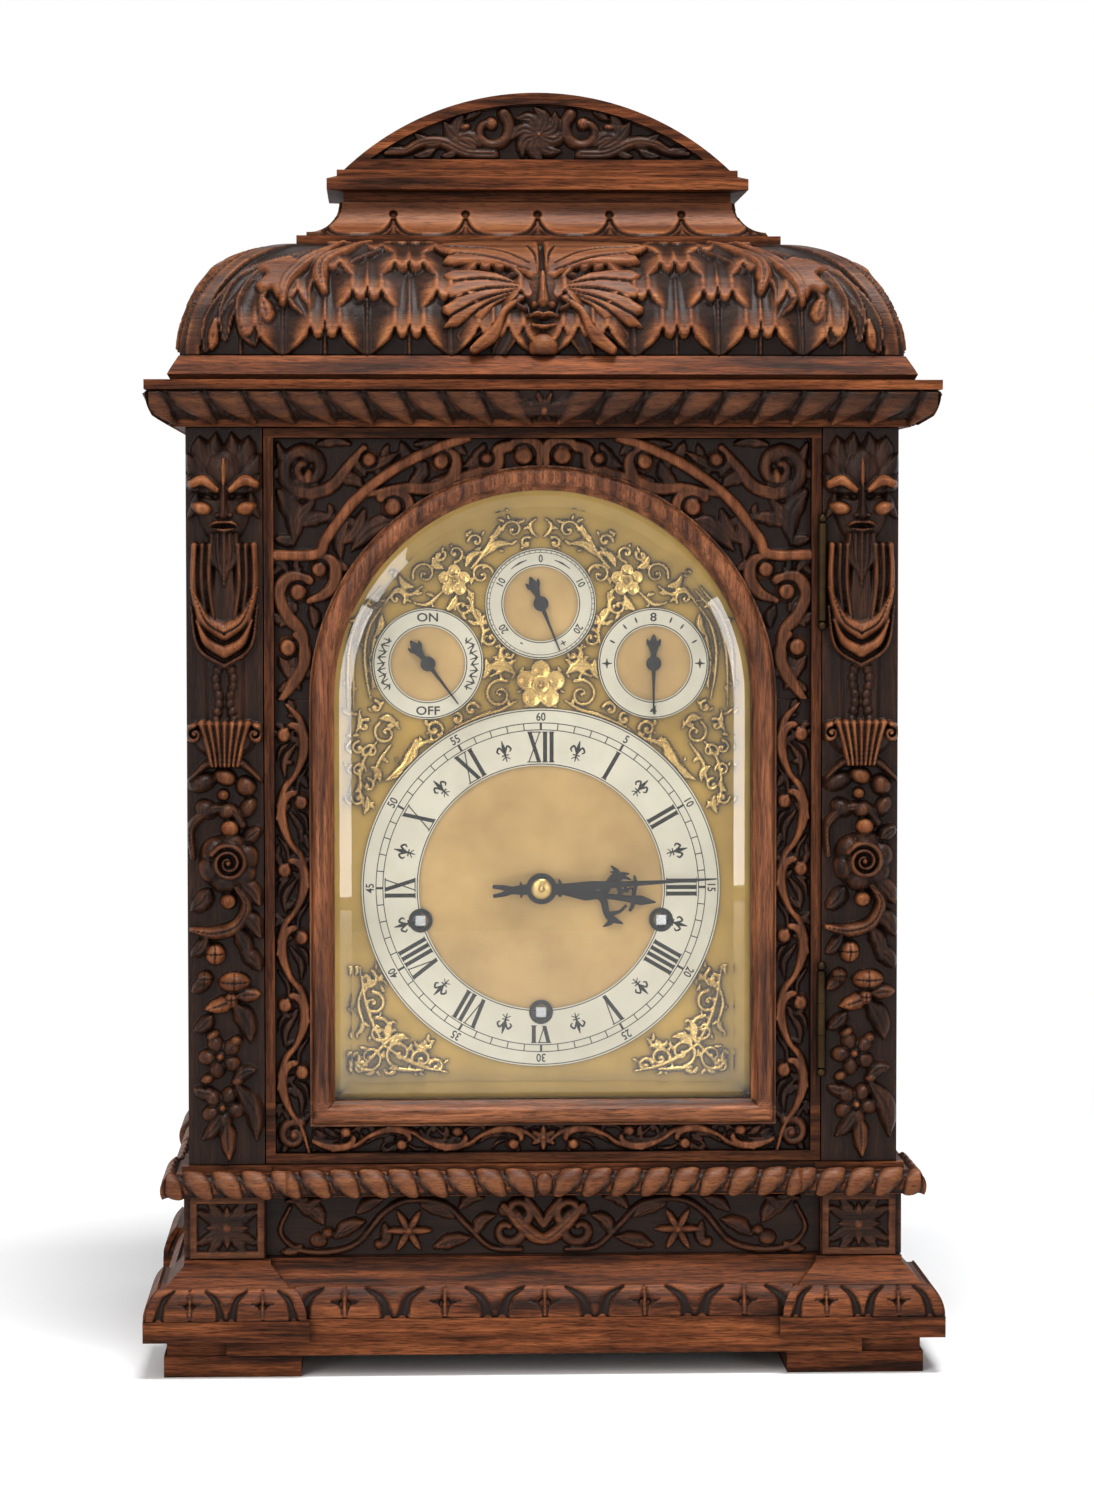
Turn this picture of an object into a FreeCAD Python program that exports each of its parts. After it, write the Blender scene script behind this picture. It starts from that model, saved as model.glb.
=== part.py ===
"""A carved oak table clock with a three-train chiming movement, as a parametric document.

Millimetres. +Z is up, -Y is the front with the dial, +X is the viewer's right. The origin lies on the
standing surface, under the middle of the case.
"""

import FreeCAD, Part
import Sketcher
import math
import os

Vector = FreeCAD.Vector

# Driving dimensions
SIZES = {
    # The case, from the floor up
    "case_depth": 240.0,
    "foot_height": 20.0,
    "foot_side": 72.0,
    "foot_overhang": 13.0,
    "foot_step": 1.5,
    "plinth_height": 40.0,
    "plinth_overhang": 23.5,
    "plinth_fillet": 11.0,
    "frieze_height": 34.0,
    "rail_setback": 6.0,
    "rail_thickness": 18.0,
    "apron_drop": 8.0,
    "surbase_height": 16.0,
    "surbase_overhang": 8.5,
    "surbase_break": 3.5,
    "pilaster_width": 40.0,
    "pilaster_depth": 30.0,
    "side_thickness": 16.0,
    "cornice_height": 24.0,
    "cornice_overhang": 20.5,
    "cornice_fillet": 5.0,
    "dome_moulding_height": 13.0,
    "dome_moulding_overhang": 9.0,
    "dome_radius": 62.0,
    "dome_wall": 14.0,
    "cove_radius": 20.0,
    "cove_fillet": 5.0,
    "cove_lip": 5.0,
    "cap_height": 17.0,
    "cap_overhang": 9.0,
    "pediment_rise": 42.0,
    "pediment_rim": 6.0,
    "tympanum_depth": 5.0,
    # Carving blocked out on the pilasters
    "mask_drop": 38.0,
    "mask_half_width": 17.0,
    "mask_half_height": 30.0,
    "mask_relief": 13.0,
    "swag_drop": 94.0,
    "swag_half_width": 16.5,
    "swag_half_height": 27.0,
    "swag_relief": 9.0,
    "capital_drop": 157.0,
    "capital_half_width": 19.0,
    "capital_height": 20.0,
    "capital_relief": 9.0,
    "rose_height": 160.0,
    "rose_half_width": 17.0,
    "rose_half_height": 42.0,
    "rose_relief": 12.0,
    "fruit_height": 93.0,
    "fruit_half_width": 15.0,
    "fruit_half_height": 46.0,
    "fruit_relief": 10.0,
    "tip_height": 33.0,
    "tip_half_width": 11.0,
    "tip_half_height": 30.0,
    "tip_relief": 8.0,
    # The front door and its glass
    "door_thickness": 22.0,
    "door_gap": 0.6,
    "door_border": 5.0,
    "ground_depth": 6.0,
    "door_stile": 36.4,
    "door_head": 32.4,
    "arch_drop": 18.0,
    "bead_width": 13.0,
    "bead_proud": 2.0,
    "bead_step": 2.5,
    "glass_setback": 8.0,
    "glass_lap": 3.5,
    "glass_thickness": 5.0,
    "glass_bevel_width": 9.0,
    "glass_bevel_depth": 2.0,
    "seat_clearance": 0.3,
    # Hinges
    "hinge_length": 51.0,
    "hinge_stand": 3.0,
    "knuckle_radius": 2.6,
    "knuckle_gap": 0.2,
    "hinge_pin_radius": 1.2,
    "hinge_finial_radius": 2.6,
    "leaf_thickness": 1.0,
    "leaf_depth": 14.0,
    "hinge_low": 76.0,
    "hinge_high": 312.0,
    # The back of the case
    "back_thickness": 16.0,
    "back_stile": 42.0,
    "back_rail": 40.0,
    "rear_door_stile": 34.0,
    "rear_glass_thickness": 3.0,
    "rear_glass_lap": 6.0,
    "knob_radius": 8.0,
    "knob_length": 14.0,
    # The sound frets in the sides
    "fret_half_width": 48.0,
    "fret_sill": 70.0,
    "fret_arch_height": 235.0,
    "fret_thickness": 3.0,
    "fret_lap": 6.0,
    "fret_hole_radius": 5.0,
    "fret_pitch": 14.0,
    # The dial
    "surround_thickness": 17.0,
    "surround_gap": 1.0,
    "dial_thickness": 2.5,
    "dial_lap": 3.0,
    "chapter_radius": 96.0,
    "chapter_band": 30.5,
    "chapter_margin": 14.0,
    "ring_thickness": 1.5,
    "subdial_radius": 29.5,
    "subdial_band": 9.5,
    "subdial_gap": 8.8,
    "subdial_top_lift": 32.0,
    "subdial_side_offset": 60.3,
    "spandrel_thickness": 2.5,
    "spandrel_margin": 9.0,
    "spandrel_gap": 1.0,
    "corner_spandrel_width": 42.0,
    "corner_spandrel_height": 58.0,
    "winding_hole_radius": 6.0,
    "winding_offset": 64.5,
    "winding_drop": 17.5,
    "dial_foot_radius": 3.0,
    "dial_foot_inset": 20.0,
    # The hands
    "minute_hand_length": 94.0,
    "minute_hand_tail": 26.0,
    "hour_hand_length": 62.0,
    "hand_width": 5.0,
    "minute_hand_width": 4.0,
    "hand_thickness": 1.0,
    "hand_boss_radius": 7.0,
    "hour_hand_stand": 5.0,
    "minute_hand_stand": 9.0,
    "collet_radius": 5.5,
    "collet_thickness": 2.0,
    "small_hand_length": 27.0,
    "small_hand_tail": 14.0,
    "small_hand_width": 3.2,
    "small_hand_boss_radius": 4.0,
    "small_hand_stand": 3.5,
    "small_arbor_radius": 1.5,
    "small_arbor_length": 14.0,
    "minute_rest_angle": 87.0,
    "hour_rest_angle": 97.25,
    "regulator_rest_angle": 158.0,
    "chime_silent_rest_angle": 143.0,
    "tune_rest_angle": 180.0,
    # The movement's frame
    "dial_to_plate": 15.5,
    "plate_thickness": 3.5,
    "plate_spacing": 50.0,
    "plate_edge": 4.0,
    "plate_top_rise": 92.0,
    "wheel_seat_gap": 6.5,
    "seat_gap": 5.0,
    "seat_board_thickness": 15.0,
    "pillar_radius": 5.0,
    "pillar_inset": 10.0,
    "pivot_radius": 0.7,
    "arbor_radius": 1.0,
    "motion_stud_radius": 1.0,
    "running_fit": 0.08,
    "end_shake": 0.3,
    # Barrels and winding
    "barrel_radius": 27.0,
    "barrel_length": 27.0,
    "barrel_setback": 10.5,
    "great_teeth": 84,
    "great_module": 0.75,
    "wheel_thickness": 3.0,
    "winding_arbor_radius": 3.0,
    "winding_square": 5.2,
    "square_proud": 2.0,
    "ratchet_radius": 12.0,
    "ratchet_thickness": 2.5,
    # The going train and the motion work
    "intermediate_teeth": 96,
    "intermediate_pinion": 12,
    "intermediate_module": 0.6,
    "centre_pinion": 12,
    "centre_teeth": 84,
    "third_pinion": 8,
    "third_teeth": 84,
    "escape_pinion": 6,
    "train_module": 0.5,
    "intermediate_offset": 7.5,
    "third_offset": 17.0,
    "escape_teeth": 30,
    "escape_radius": 13.0,
    "cannon_teeth": 36,
    "motion_module": 0.6,
    "minute_pinion": 8,
    "hour_teeth": 96,
    "motion_offset": 16.0,
    "cannon_pipe_radius": 3.0,
    "hour_pipe_radius": 4.6,
    "mesh_clearance": 0.12,
    # The escapement and the pendulum
    "pallet_rise": 20.0,
    "pallet_clearance": 1.2,
    "pallet_width": 2.5,
    "pallet_arm_height": 4.0,
    "crutch_length": 48.0,
    "crutch_width": 2.4,
    "crutch_pin_radius": 0.8,
    "pendulum_rod_radius": 1.5,
    "pendulum_stand": 12.0,
    "bob_radius": 18.0,
    "rod_end": 2.0,
    "bob_gap": 8.0,
    "bob_thickness": 10.0,
    "cock_width": 30.0,
    "cock_height": 14.0,
    "suspension_width": 6.0,
    "suspension_thickness": 0.6,
    "suspension_length": 9.0,
    # The chime
    "drum_teeth": 28,
    "drum_radius": 8.0,
    "drum_pin_radius": 0.8,
    "drum_pin_length": 2.0,
    "drum_offset": 21.0,
    "hammer_count": 8,
    "hammer_pitch": 4.7,
    "hammer_rod_radius": 1.2,
    "hammer_reach": 17.5,
    "hammer_pivot_drop": 9.0,
    "hammer_thickness": 2.4,
    "hammer_arm_width": 3.0,
    "hammer_arm_length": 50.0,
    "hammer_head_length": 9.0,
    "hammer_tail": 8.5,
    "hammer_tail_width": 2.1,
    "hammer_boss_radius": 2.4,
    "gong_radius": 1.8,
    "gong_length": 205.0,
    "gong_gap": 3.0,
    "gong_block_height": 18.0,
    "gong_block_width": 26.0,
}

DOC = FreeCAD.newDocument("table_clock")
SHEET = DOC.addObject("Spreadsheet::Sheet", "sizes")


class Size:
    """A number and the sheet expression that gives it, which arithmetic keeps together."""

    def __init__(self, value, text):
        self.value = float(value)
        self.text = text

    def __add__(self, other):
        other = as_size(other)
        return Size(self.value + other.value, "(%s + %s)" % (self.text, other.text))

    def __sub__(self, other):
        other = as_size(other)
        return Size(self.value - other.value, "(%s - %s)" % (self.text, other.text))

    def __mul__(self, other):
        other = as_size(other)
        return Size(self.value * other.value, "(%s * %s)" % (self.text, other.text))

    def __truediv__(self, other):
        other = as_size(other)
        return Size(self.value / other.value, "(%s / %s)" % (self.text, other.text))

    def __neg__(self):
        return Size(-self.value, "(0 - %s)" % self.text)


def as_size(value):
    return value if isinstance(value, Size) else Size(value, repr(float(value)))


def root(size):
    return Size(math.sqrt(size.value), "sqrt(%s)" % size.text)


class Sheet:
    """The cells of the spreadsheet as named sizes, such as size.case_depth."""

    def __init__(self, values):
        for row, (name, value) in enumerate(values.items(), 1):
            cell = "A%d" % row
            SHEET.set(cell, str(value))
            SHEET.setAlias(cell, name)
            setattr(self, name, Size(value, "sizes.%s" % name))


size = Sheet(SIZES)
DOC.recompute()

NODES = {}

# How far a cutting tool passes the face that it cuts
OVERCUT = 1.0


def add(kind, name):
    return DOC.addObject(kind, name)


def bind(thing, path, value):
    thing.setExpression(path, as_size(value).text)


def place(thing, x, y, z, rotation=None):
    """Sets a place from sizes, with a fixed turn."""
    values = [as_size(v) for v in (x, y, z)]
    turn = rotation or FreeCAD.Rotation()
    thing.Placement = FreeCAD.Placement(Vector(*[v.value for v in values]), turn)
    for axis, value in zip("xyz", values):
        bind(thing, "Placement.Base.%s" % axis, value)
    return thing


def node(name, thing):
    """Names a finished sub-part, which becomes one file."""
    thing.Label = name
    NODES[name] = thing
    return thing


# Solids bound to the sheet


def box(x0, x1, y0, y1, z0, z1):
    thing = add("Part::Box", "box")
    for side, low, high in (("Length", x0, x1), ("Width", y0, y1), ("Height", z0, z1)):
        bind(thing, side, as_size(high) - low)
    return place(thing, x0, y0, z0)


AXIS_TURN = {
    "x": FreeCAD.Rotation(Vector(0, 1, 0), 90),
    "y": FreeCAD.Rotation(Vector(1, 0, 0), -90),
    "z": FreeCAD.Rotation(),
}


def rod(radius, x, y, z, length, axis="y"):
    """A cylinder that starts at a point and runs along +X, +Y or +Z."""
    thing = add("Part::Cylinder", "rod")
    bind(thing, "Radius", radius)
    bind(thing, "Height", length)
    return place(thing, x, y, z, AXIS_TURN[axis])


def ball(radius, x, y, z):
    thing = add("Part::Sphere", "ball")
    bind(thing, "Radius", radius)
    return place(thing, x, y, z)


def ellipsoid(half_x, half_y, half_z, x, y, z):
    thing = add("Part::Ellipsoid", "ellipsoid")
    bind(thing, "Radius1", half_z)
    bind(thing, "Radius2", half_x)
    bind(thing, "Radius3", half_y)
    return place(thing, x, y, z)


def fuse(*things):
    thing = add("Part::MultiFuse", "fuse")
    thing.Shapes = list(things)
    thing.Refine = True
    return thing


def cut(base, *tools):
    thing = add("Part::Cut", "cut")
    thing.Base = base
    thing.Tool = tools[0] if len(tools) == 1 else fuse(*tools)
    thing.Refine = True
    return thing


def common(*things):
    thing = add("Part::MultiCommon", "common")
    thing.Shapes = list(things)
    return thing


def group(*things):
    """Several separate solids in one sub-part."""
    thing = add("Part::Compound", "group")
    thing.Links = list(things)
    return thing


def mirror(source, axis):
    thing = add("Part::Mirroring", "mirror")
    thing.Source = source
    thing.Normal = Vector(1, 0, 0) if axis == "x" else Vector(0, 1, 0)
    return thing


def four_corners(source):
    right = group(source, mirror(source, "y"))
    return group(right, mirror(right, "x"))


# Moulded blocks: a profile seen from the front, crossed with the same profile seen from the side

FRONT_TURN = FreeCAD.Rotation(Vector(1, 0, 0), 90)
SIDE_TURN = FreeCAD.Rotation(Vector(1, 1, 1), 120)


def arc_centre(start, end, radius, turn):
    """The centre of an arc between two points; turn is 1 for anticlockwise travel."""
    middle = ((start[0] + end[0]) / 2, (start[1] + end[1]) / 2)
    dx, dy = end[0] - start[0], end[1] - start[1]
    chord = math.hypot(dx, dy)
    rise = math.sqrt(max(radius * radius - chord * chord / 4, 0.0)) * turn
    return (middle[0] - dy / chord * rise, middle[1] + dx / chord * rise)


def outline(points, turn):
    """A closed sketch. A point is (x, y) after a straight line, or (x, y, radius, turn) after an arc."""
    sketch = add("Sketcher::SketchObject", "outline")
    sketch.Placement = FreeCAD.Placement(Vector(), turn)
    plain = [(as_size(p[0]).value, as_size(p[1]).value) for p in points]
    count = len(points)
    ends = []
    for i in range(count):
        start, end, target = plain[i], plain[(i + 1) % count], points[(i + 1) % count]
        if len(target) == 2:
            line = Part.LineSegment(Vector(*start, 0), Vector(*end, 0))
            sketch.addGeometry(line, False)
            ends.append((1, 2))
            continue
        radius = as_size(target[2])
        centre = arc_centre(start, end, radius.value, target[3])
        angles = [math.atan2(p[1] - centre[1], p[0] - centre[0]) for p in (start, end)]
        if target[3] < 0:
            angles.reverse()
        circle = Part.Circle(Vector(*centre, 0), Vector(0, 0, 1), radius.value)
        if angles[1] <= angles[0]:
            angles[1] += 2 * math.pi
        sketch.addGeometry(Part.ArcOfCircle(circle, *angles), False)
        ends.append((1, 2) if target[3] > 0 else (2, 1))
        held = sketch.addConstraint(Sketcher.Constraint("Radius", i, radius.value))
        bind(sketch, "Constraints[%d]" % held, radius)
    for i in range(count):
        after = (i + 1) % count
        sketch.addConstraint(Sketcher.Constraint("Coincident", i, ends[i][1], after, ends[after][0]))
    for i, point in enumerate(points):
        for kind, value in (("DistanceX", point[0]), ("DistanceY", point[1])):
            value = as_size(value)
            held = sketch.addConstraint(Sketcher.Constraint(kind, -1, 1, i, ends[i][0], value.value))
            bind(sketch, "Constraints[%d]" % held, value)
    return sketch


def extrude(sketch, length):
    """A prism of a sketch, the same length to both sides of its plane."""
    thing = add("Part::Extrusion", "prism")
    thing.Base = sketch
    thing.DirMode = "Normal"
    thing.Solid = True
    thing.Symmetric = True
    bind(thing, "LengthFwd", length)
    return thing


def both_sides(profile, middle, half):
    """A profile of (overhang, height) points, bottom to top, drawn on both sides of a middle line."""
    right = [(middle + half + p[0], *p[1:]) for p in profile]
    left = [(middle - half - p[0], *p[1:]) for p in profile]
    down = []
    for i in range(len(left) - 1, -1, -1):
        arc = profile[i + 1][2:] if i + 1 < len(profile) else ()
        down.append((left[i][0], left[i][1], *arc))
    return right + down


def moulded(profile, half_x, half_y, reach, middle_x=0, middle_y=0):
    """A block with one moulded profile round all four sides, mitred at the corners."""
    middle_x, middle_y = as_size(middle_x), as_size(middle_y)
    front = extrude(outline(both_sides(profile, middle_x, half_x), FRONT_TURN), reach)
    side = extrude(outline(both_sides(profile, middle_y, half_y), SIDE_TURN), reach)
    return common(front, side)


def leg(slope, run):
    """The rise of a slope of a known length over a known run."""
    return root(slope * slope - run * run)


def pitch_radius(teeth, module):
    return teeth * module / 2


def meshed(teeth, other, module):
    """The distance between two wheels' axes."""
    return pitch_radius(teeth, module) + pitch_radius(other, module) + size.mesh_clearance


# The case is drawn round the dial, and the dial round the centre of the movement

sight = size.chapter_radius + size.chapter_margin
door_half = sight + size.door_stile
pilaster_inner = door_half + size.door_gap
half_w = pilaster_inner + size.pilaster_width
half_d = size.case_depth / 2
front = -half_d
back = half_d
REACH = (half_w + half_d) * 4

z_plinth = size.foot_height
z_frieze = z_plinth + size.plinth_height
z_surbase = z_frieze + size.frieze_height
z_body = z_surbase + size.surbase_height

# The movement stands on its seat board, over the gong blocks
z_gong = z_body + size.gong_block_height
z_seat_low = z_gong + size.seat_gap
z_seat = z_seat_low + size.seat_board_thickness
great_reach = pitch_radius(size.great_teeth, size.great_module)
drive = meshed(size.great_teeth, size.intermediate_pinion, size.great_module)
second = meshed(size.intermediate_teeth, size.centre_pinion, size.intermediate_module)
intermediate_rise = leg(drive, size.intermediate_offset)
z_going = z_seat + size.wheel_seat_gap + great_reach
z_intermediate = z_going + intermediate_rise
z_dial = z_intermediate + leg(second, size.intermediate_offset)
z_plate_top = z_dial + size.plate_top_rise

# The door's window follows the dial, and the cornice lies on the door's head
z_sill = z_dial - sight
subdial_reach = size.chapter_radius + size.subdial_radius + size.subdial_gap
z_side_dials = z_dial + leg(subdial_reach, size.subdial_side_offset)
z_top_dial = z_side_dials + size.subdial_top_lift
z_arch = z_side_dials - size.arch_drop
z_cornice = z_arch + sight + size.door_head + size.door_gap
z_moulding = z_cornice + size.cornice_height
z_dome = z_moulding + size.dome_moulding_height
z_cove = z_dome + size.dome_radius
z_cap = z_cove + size.cove_fillet + size.cove_radius
z_pediment = z_cap + size.cap_height

pilaster_back = front + size.pilaster_depth
back_inner = back - size.back_thickness
side_inner = half_w - size.side_thickness
surround_front = front + size.door_thickness + size.surround_gap
dial_front = surround_front + size.surround_thickness
dial_back = dial_front + size.dial_thickness
plate_front = dial_back + size.dial_to_plate
train_front = plate_front + size.plate_thickness
train_back = train_front + size.plate_spacing
plate_back = train_back + size.plate_thickness


def arch(half, z_low, y0, y1, z_centre=z_arch, middle=0):
    """A slab with straight sides and a round top, between two planes across the case."""
    middle, half, y0 = as_size(middle), as_size(half), as_size(y0)
    straight = box(middle - half, middle + half, y0, y1, z_low, z_centre)
    return fuse(straight, rod(half, middle, y0, z_centre, as_size(y1) - y0))


# The base: feet, corner pedestals and the rails between them


def corner_foot():
    outer_x, outer_y = half_w + size.foot_overhang, half_d + size.foot_overhang
    inner_x, inner_y = outer_x - size.foot_side, outer_y - size.foot_side
    step, waist = size.foot_step, size.foot_height * 0.55
    pad = box(inner_x, outer_x, -outer_y, -inner_y, 0, waist)
    neck = box(inner_x + step, outer_x - step, step - outer_y, -step - inner_y, waist, size.foot_height)
    return fuse(pad, neck)


def plinth_profile(z_low, shrink):
    """Fillet, ovolo, step, slope and fillet, from the bottom up."""
    wide, tall, fillet = size.plinth_overhang - shrink, size.plinth_height, size.plinth_fillet
    z_fillet = z_plinth + fillet
    z_step = z_plinth + tall * 0.66
    return [
        (wide, z_low),
        (wide, z_fillet),
        (wide - size.plinth_overhang * 0.07, z_fillet),
        (wide - size.plinth_overhang * 0.36, z_step),
        (wide - size.plinth_overhang * 0.45, z_step),
        (wide - size.plinth_overhang * 0.88, z_frieze - tall * 0.07),
        (wide - size.plinth_overhang * 0.88, z_frieze),
        (wide - size.plinth_overhang, z_frieze),
        (wide - size.plinth_overhang, z_surbase),
    ]


half_pedestal = size.pilaster_width / 2


def corner_pedestal():
    return moulded(
        plinth_profile(z_plinth, 0),
        half_pedestal,
        half_pedestal,
        REACH,
        half_w - half_pedestal,
        half_pedestal - half_d,
    )


def base_rail(half_run, half_across, turn):
    """One front rail, or one side rail, with the plinth profile on its outer face."""
    z_apron = z_plinth - size.apron_drop
    profile = [(half_across + p[0], *p[1:]) for p in plinth_profile(z_apron, size.rail_setback)]
    inner = half_across - size.rail_setback - size.rail_thickness
    points = profile + [(inner, z_surbase), (inner, z_apron)]
    return extrude(outline(points, turn), half_run * 2)


corner_solid = corner_pedestal()
node("corner_pedestals", four_corners(corner_solid))
node("feet", four_corners(corner_foot()))
rail_run_x = half_w + size.plinth_overhang - size.rail_setback
rail_run_y = half_d - size.rail_setback - size.rail_thickness
corner_cutters = four_corners(corner_pedestal())
foot_cutters = four_corners(corner_foot())


def trimmed_rails(half_run, half_across, turn, axis):
    rail = cut(base_rail(half_run, half_across, turn), corner_cutters, foot_cutters)
    return group(rail, mirror(rail, axis))


side_rails = trimmed_rails(rail_run_y, half_w, FRONT_TURN, "x")
front_rails = trimmed_rails(pilaster_inner + half_pedestal, half_d, SIDE_TURN, "y")
node("base_rails", group(side_rails, front_rails))


def surbase_profile(extra):
    wide = size.surbase_overhang + extra
    tall = size.surbase_height
    return [
        (wide * 0.8, z_surbase),
        (wide, z_surbase + tall * 0.18),
        (wide, z_surbase + tall * 0.5),
        (wide * 0.45, z_surbase + tall * 0.78),
        (wide * 0.3, z_surbase + tall * 0.78),
        (wide * 0.3, z_body),
    ]


surbase = moulded(surbase_profile(0), half_w, half_d, REACH)
surbase_corner = moulded(
    surbase_profile(size.surbase_break),
    half_pedestal,
    half_pedestal,
    REACH,
    half_w - half_pedestal,
    half_pedestal - half_d,
)
node("surbase_board", fuse(surbase, four_corners(surbase_corner)))


# The top: cornice, moulding, cushion dome, cove and arched pediment

cornice_wide = size.cornice_overhang
cornice_low = z_cornice + size.cornice_fillet * 0.8
cornice_high = z_moulding - size.cornice_fillet
cornice_rise = cornice_high - cornice_low
node(
    "cornice",
    moulded(
        [
            (cornice_wide * 0.29, z_cornice),
            (cornice_wide * 0.29, cornice_low),
            (cornice_wide * 0.65, cornice_low + cornice_rise * 0.3),
            (cornice_wide * 0.88, cornice_high),
            (cornice_wide, cornice_high),
            (cornice_wide, z_moulding),
        ],
        half_w,
        half_d,
        REACH,
    ),
)
moulding_wide = size.dome_moulding_overhang
node(
    "dome_moulding",
    moulded(
        [
            (moulding_wide * 0.8, z_moulding),
            (moulding_wide, z_moulding + size.dome_moulding_height * 0.25),
            (moulding_wide * 0.8, z_moulding + size.dome_moulding_height * 0.5),
            (moulding_wide * 0.35, z_dome),
        ],
        half_w,
        half_d,
        REACH,
    ),
)


def dome_block(shrink):
    """A cushion: a quarter circle drawn in on all four sides."""
    radius = size.dome_radius - shrink
    profile = [(-shrink, z_dome), (-size.dome_radius, z_cove - shrink, radius, 1)]
    return moulded(profile, half_w, half_d, REACH)


node("dome", cut(dome_block(as_size(0)), dome_block(size.dome_wall)))

cove_foot = -size.dome_radius
cove_neck = cove_foot - size.cove_radius
z_cove_low = z_cove + size.cove_fillet
cap = size.cap_height
cap_wide = cove_neck + size.cap_overhang
node(
    "cove_cap",
    moulded(
        [
            (cove_foot + size.cove_lip, z_cove),
            (cove_foot + size.cove_lip, z_cove_low),
            (cove_foot, z_cove_low),
            (cove_neck, z_cap, size.cove_radius, -1),
            (cove_neck, z_cap + cap * 0.3),
            (cap_wide, z_cap + cap * 0.36),
            (cap_wide, z_cap + cap * 0.7),
            (cove_neck + size.cap_overhang * 0.4, z_cap + cap * 0.8),
            (cove_neck + size.cap_overhang * 0.4, z_pediment),
        ],
        half_w,
        half_d,
        REACH,
    ),
)
pediment_half = half_w + cove_neck
pediment_half_depth = half_d + cove_neck


def segment(half, z_low, rise, depth):
    """A slab under a flat arc."""
    radius = (half * half + rise * rise) / (rise * 2)
    points = [(half, z_low), (0, z_low + rise, radius, 1), (-half, z_low, radius, 1)]
    return extrude(outline(points, FRONT_TURN), depth)


rim = size.pediment_rim
pediment_block = segment(pediment_half, z_pediment, size.pediment_rise, pediment_half_depth * 2)
tympanum = segment(
    pediment_half - rim * 2.4, z_pediment + rim, size.pediment_rise - rim * 2, size.tympanum_depth * 2
)
place(tympanum, 0, -pediment_half_depth, 0)
node("pediment", cut(pediment_block, tympanum))


# Pilasters, sides and back

hinge_x = pilaster_inner - size.door_gap / 2
hinge_y = front - size.hinge_stand
rear_half = half_w - size.back_stile
rear_hinge_x = -rear_half + size.door_gap / 2
rear_hinge_y = back + size.hinge_stand
HINGES = (size.hinge_low, size.hinge_high)


class Hinge:
    """Where one pair of butt hinges stands; case_side is 1 where the case lies on the +X side."""

    def __init__(self, x, y, face, case_side):
        self.x, self.y, self.face, self.case_side = x, y, face, case_side
        self.outward = -1 if face.value < 0 else 1

    def leaf(self, low, side):
        """The flat of a leaf, let into the door or the case."""
        x_near = self.x + size.knuckle_gap * 0.25 * side
        x_far = x_near + size.leaf_thickness * side
        x0, x1 = (x_near, x_far) if side > 0 else (x_far, x_near)
        deep = self.face - size.leaf_depth * self.outward
        y0, y1 = (self.face, deep) if self.outward < 0 else (deep, self.face)
        z0 = z_body + low - size.hinge_length / 2
        return box(x0, x1, y0, y1, z0, z0 + size.hinge_length)

    def knuckle(self, low, side, third):
        """One barrel of the knuckle and the strip that joins it to its leaf."""
        x_near = self.x + size.knuckle_gap * 0.25 * side
        x_far = x_near + size.leaf_thickness * side
        x0, x1 = (x_near, x_far) if side > 0 else (x_far, x_near)
        y0, y1 = (self.y, self.face) if self.outward < 0 else (self.face, self.y)
        long = size.hinge_length / 3 - size.knuckle_gap
        foot = z_body + low - size.hinge_length / 2
        z0 = foot + size.hinge_length / 3 * third + size.knuckle_gap / 2
        barrel = rod(size.knuckle_radius, self.x, self.y, z0, long, "z")
        return fuse(barrel, box(x0, x1, y0, y1, z0, z0 + long))

    def half(self, low, side, thirds):
        """One leaf with its knuckles, bored for the pin."""
        solid = fuse(self.leaf(low, side), *[self.knuckle(low, side, third) for third in thirds])
        bore = size.hinge_pin_radius + size.running_fit
        z0 = z_body + low - size.hinge_length / 2
        return cut(solid, rod(bore, self.x, self.y, z0, size.hinge_length, "z"))

    def pin(self, low):
        """The pin with a ball finial on each end."""
        ball_r = size.hinge_finial_radius
        z0 = z_body + low - size.hinge_length / 2
        long = size.hinge_length
        shaft = rod(size.hinge_pin_radius, self.x, self.y, z0 - ball_r, long + ball_r * 2, "z")
        balls = [ball(ball_r, self.x, self.y, z) for z in (z0 - ball_r, z0 + long + ball_r)]
        return fuse(shaft, *balls)

    def door_leaves(self):
        return group(*[self.half(low, -self.case_side, (1,)) for low in HINGES])

    def case_leaves(self):
        return [self.half(low, self.case_side, (0, 2)) for low in HINGES]

    def pins(self):
        return [self.pin(low) for low in HINGES]

    def mortises(self, side):
        return [self.leaf(low, side) for low in HINGES]


front_hinge = Hinge(hinge_x, hinge_y, front, 1)
rear_hinge = Hinge(rear_hinge_x, rear_hinge_y, back, -1)


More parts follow.
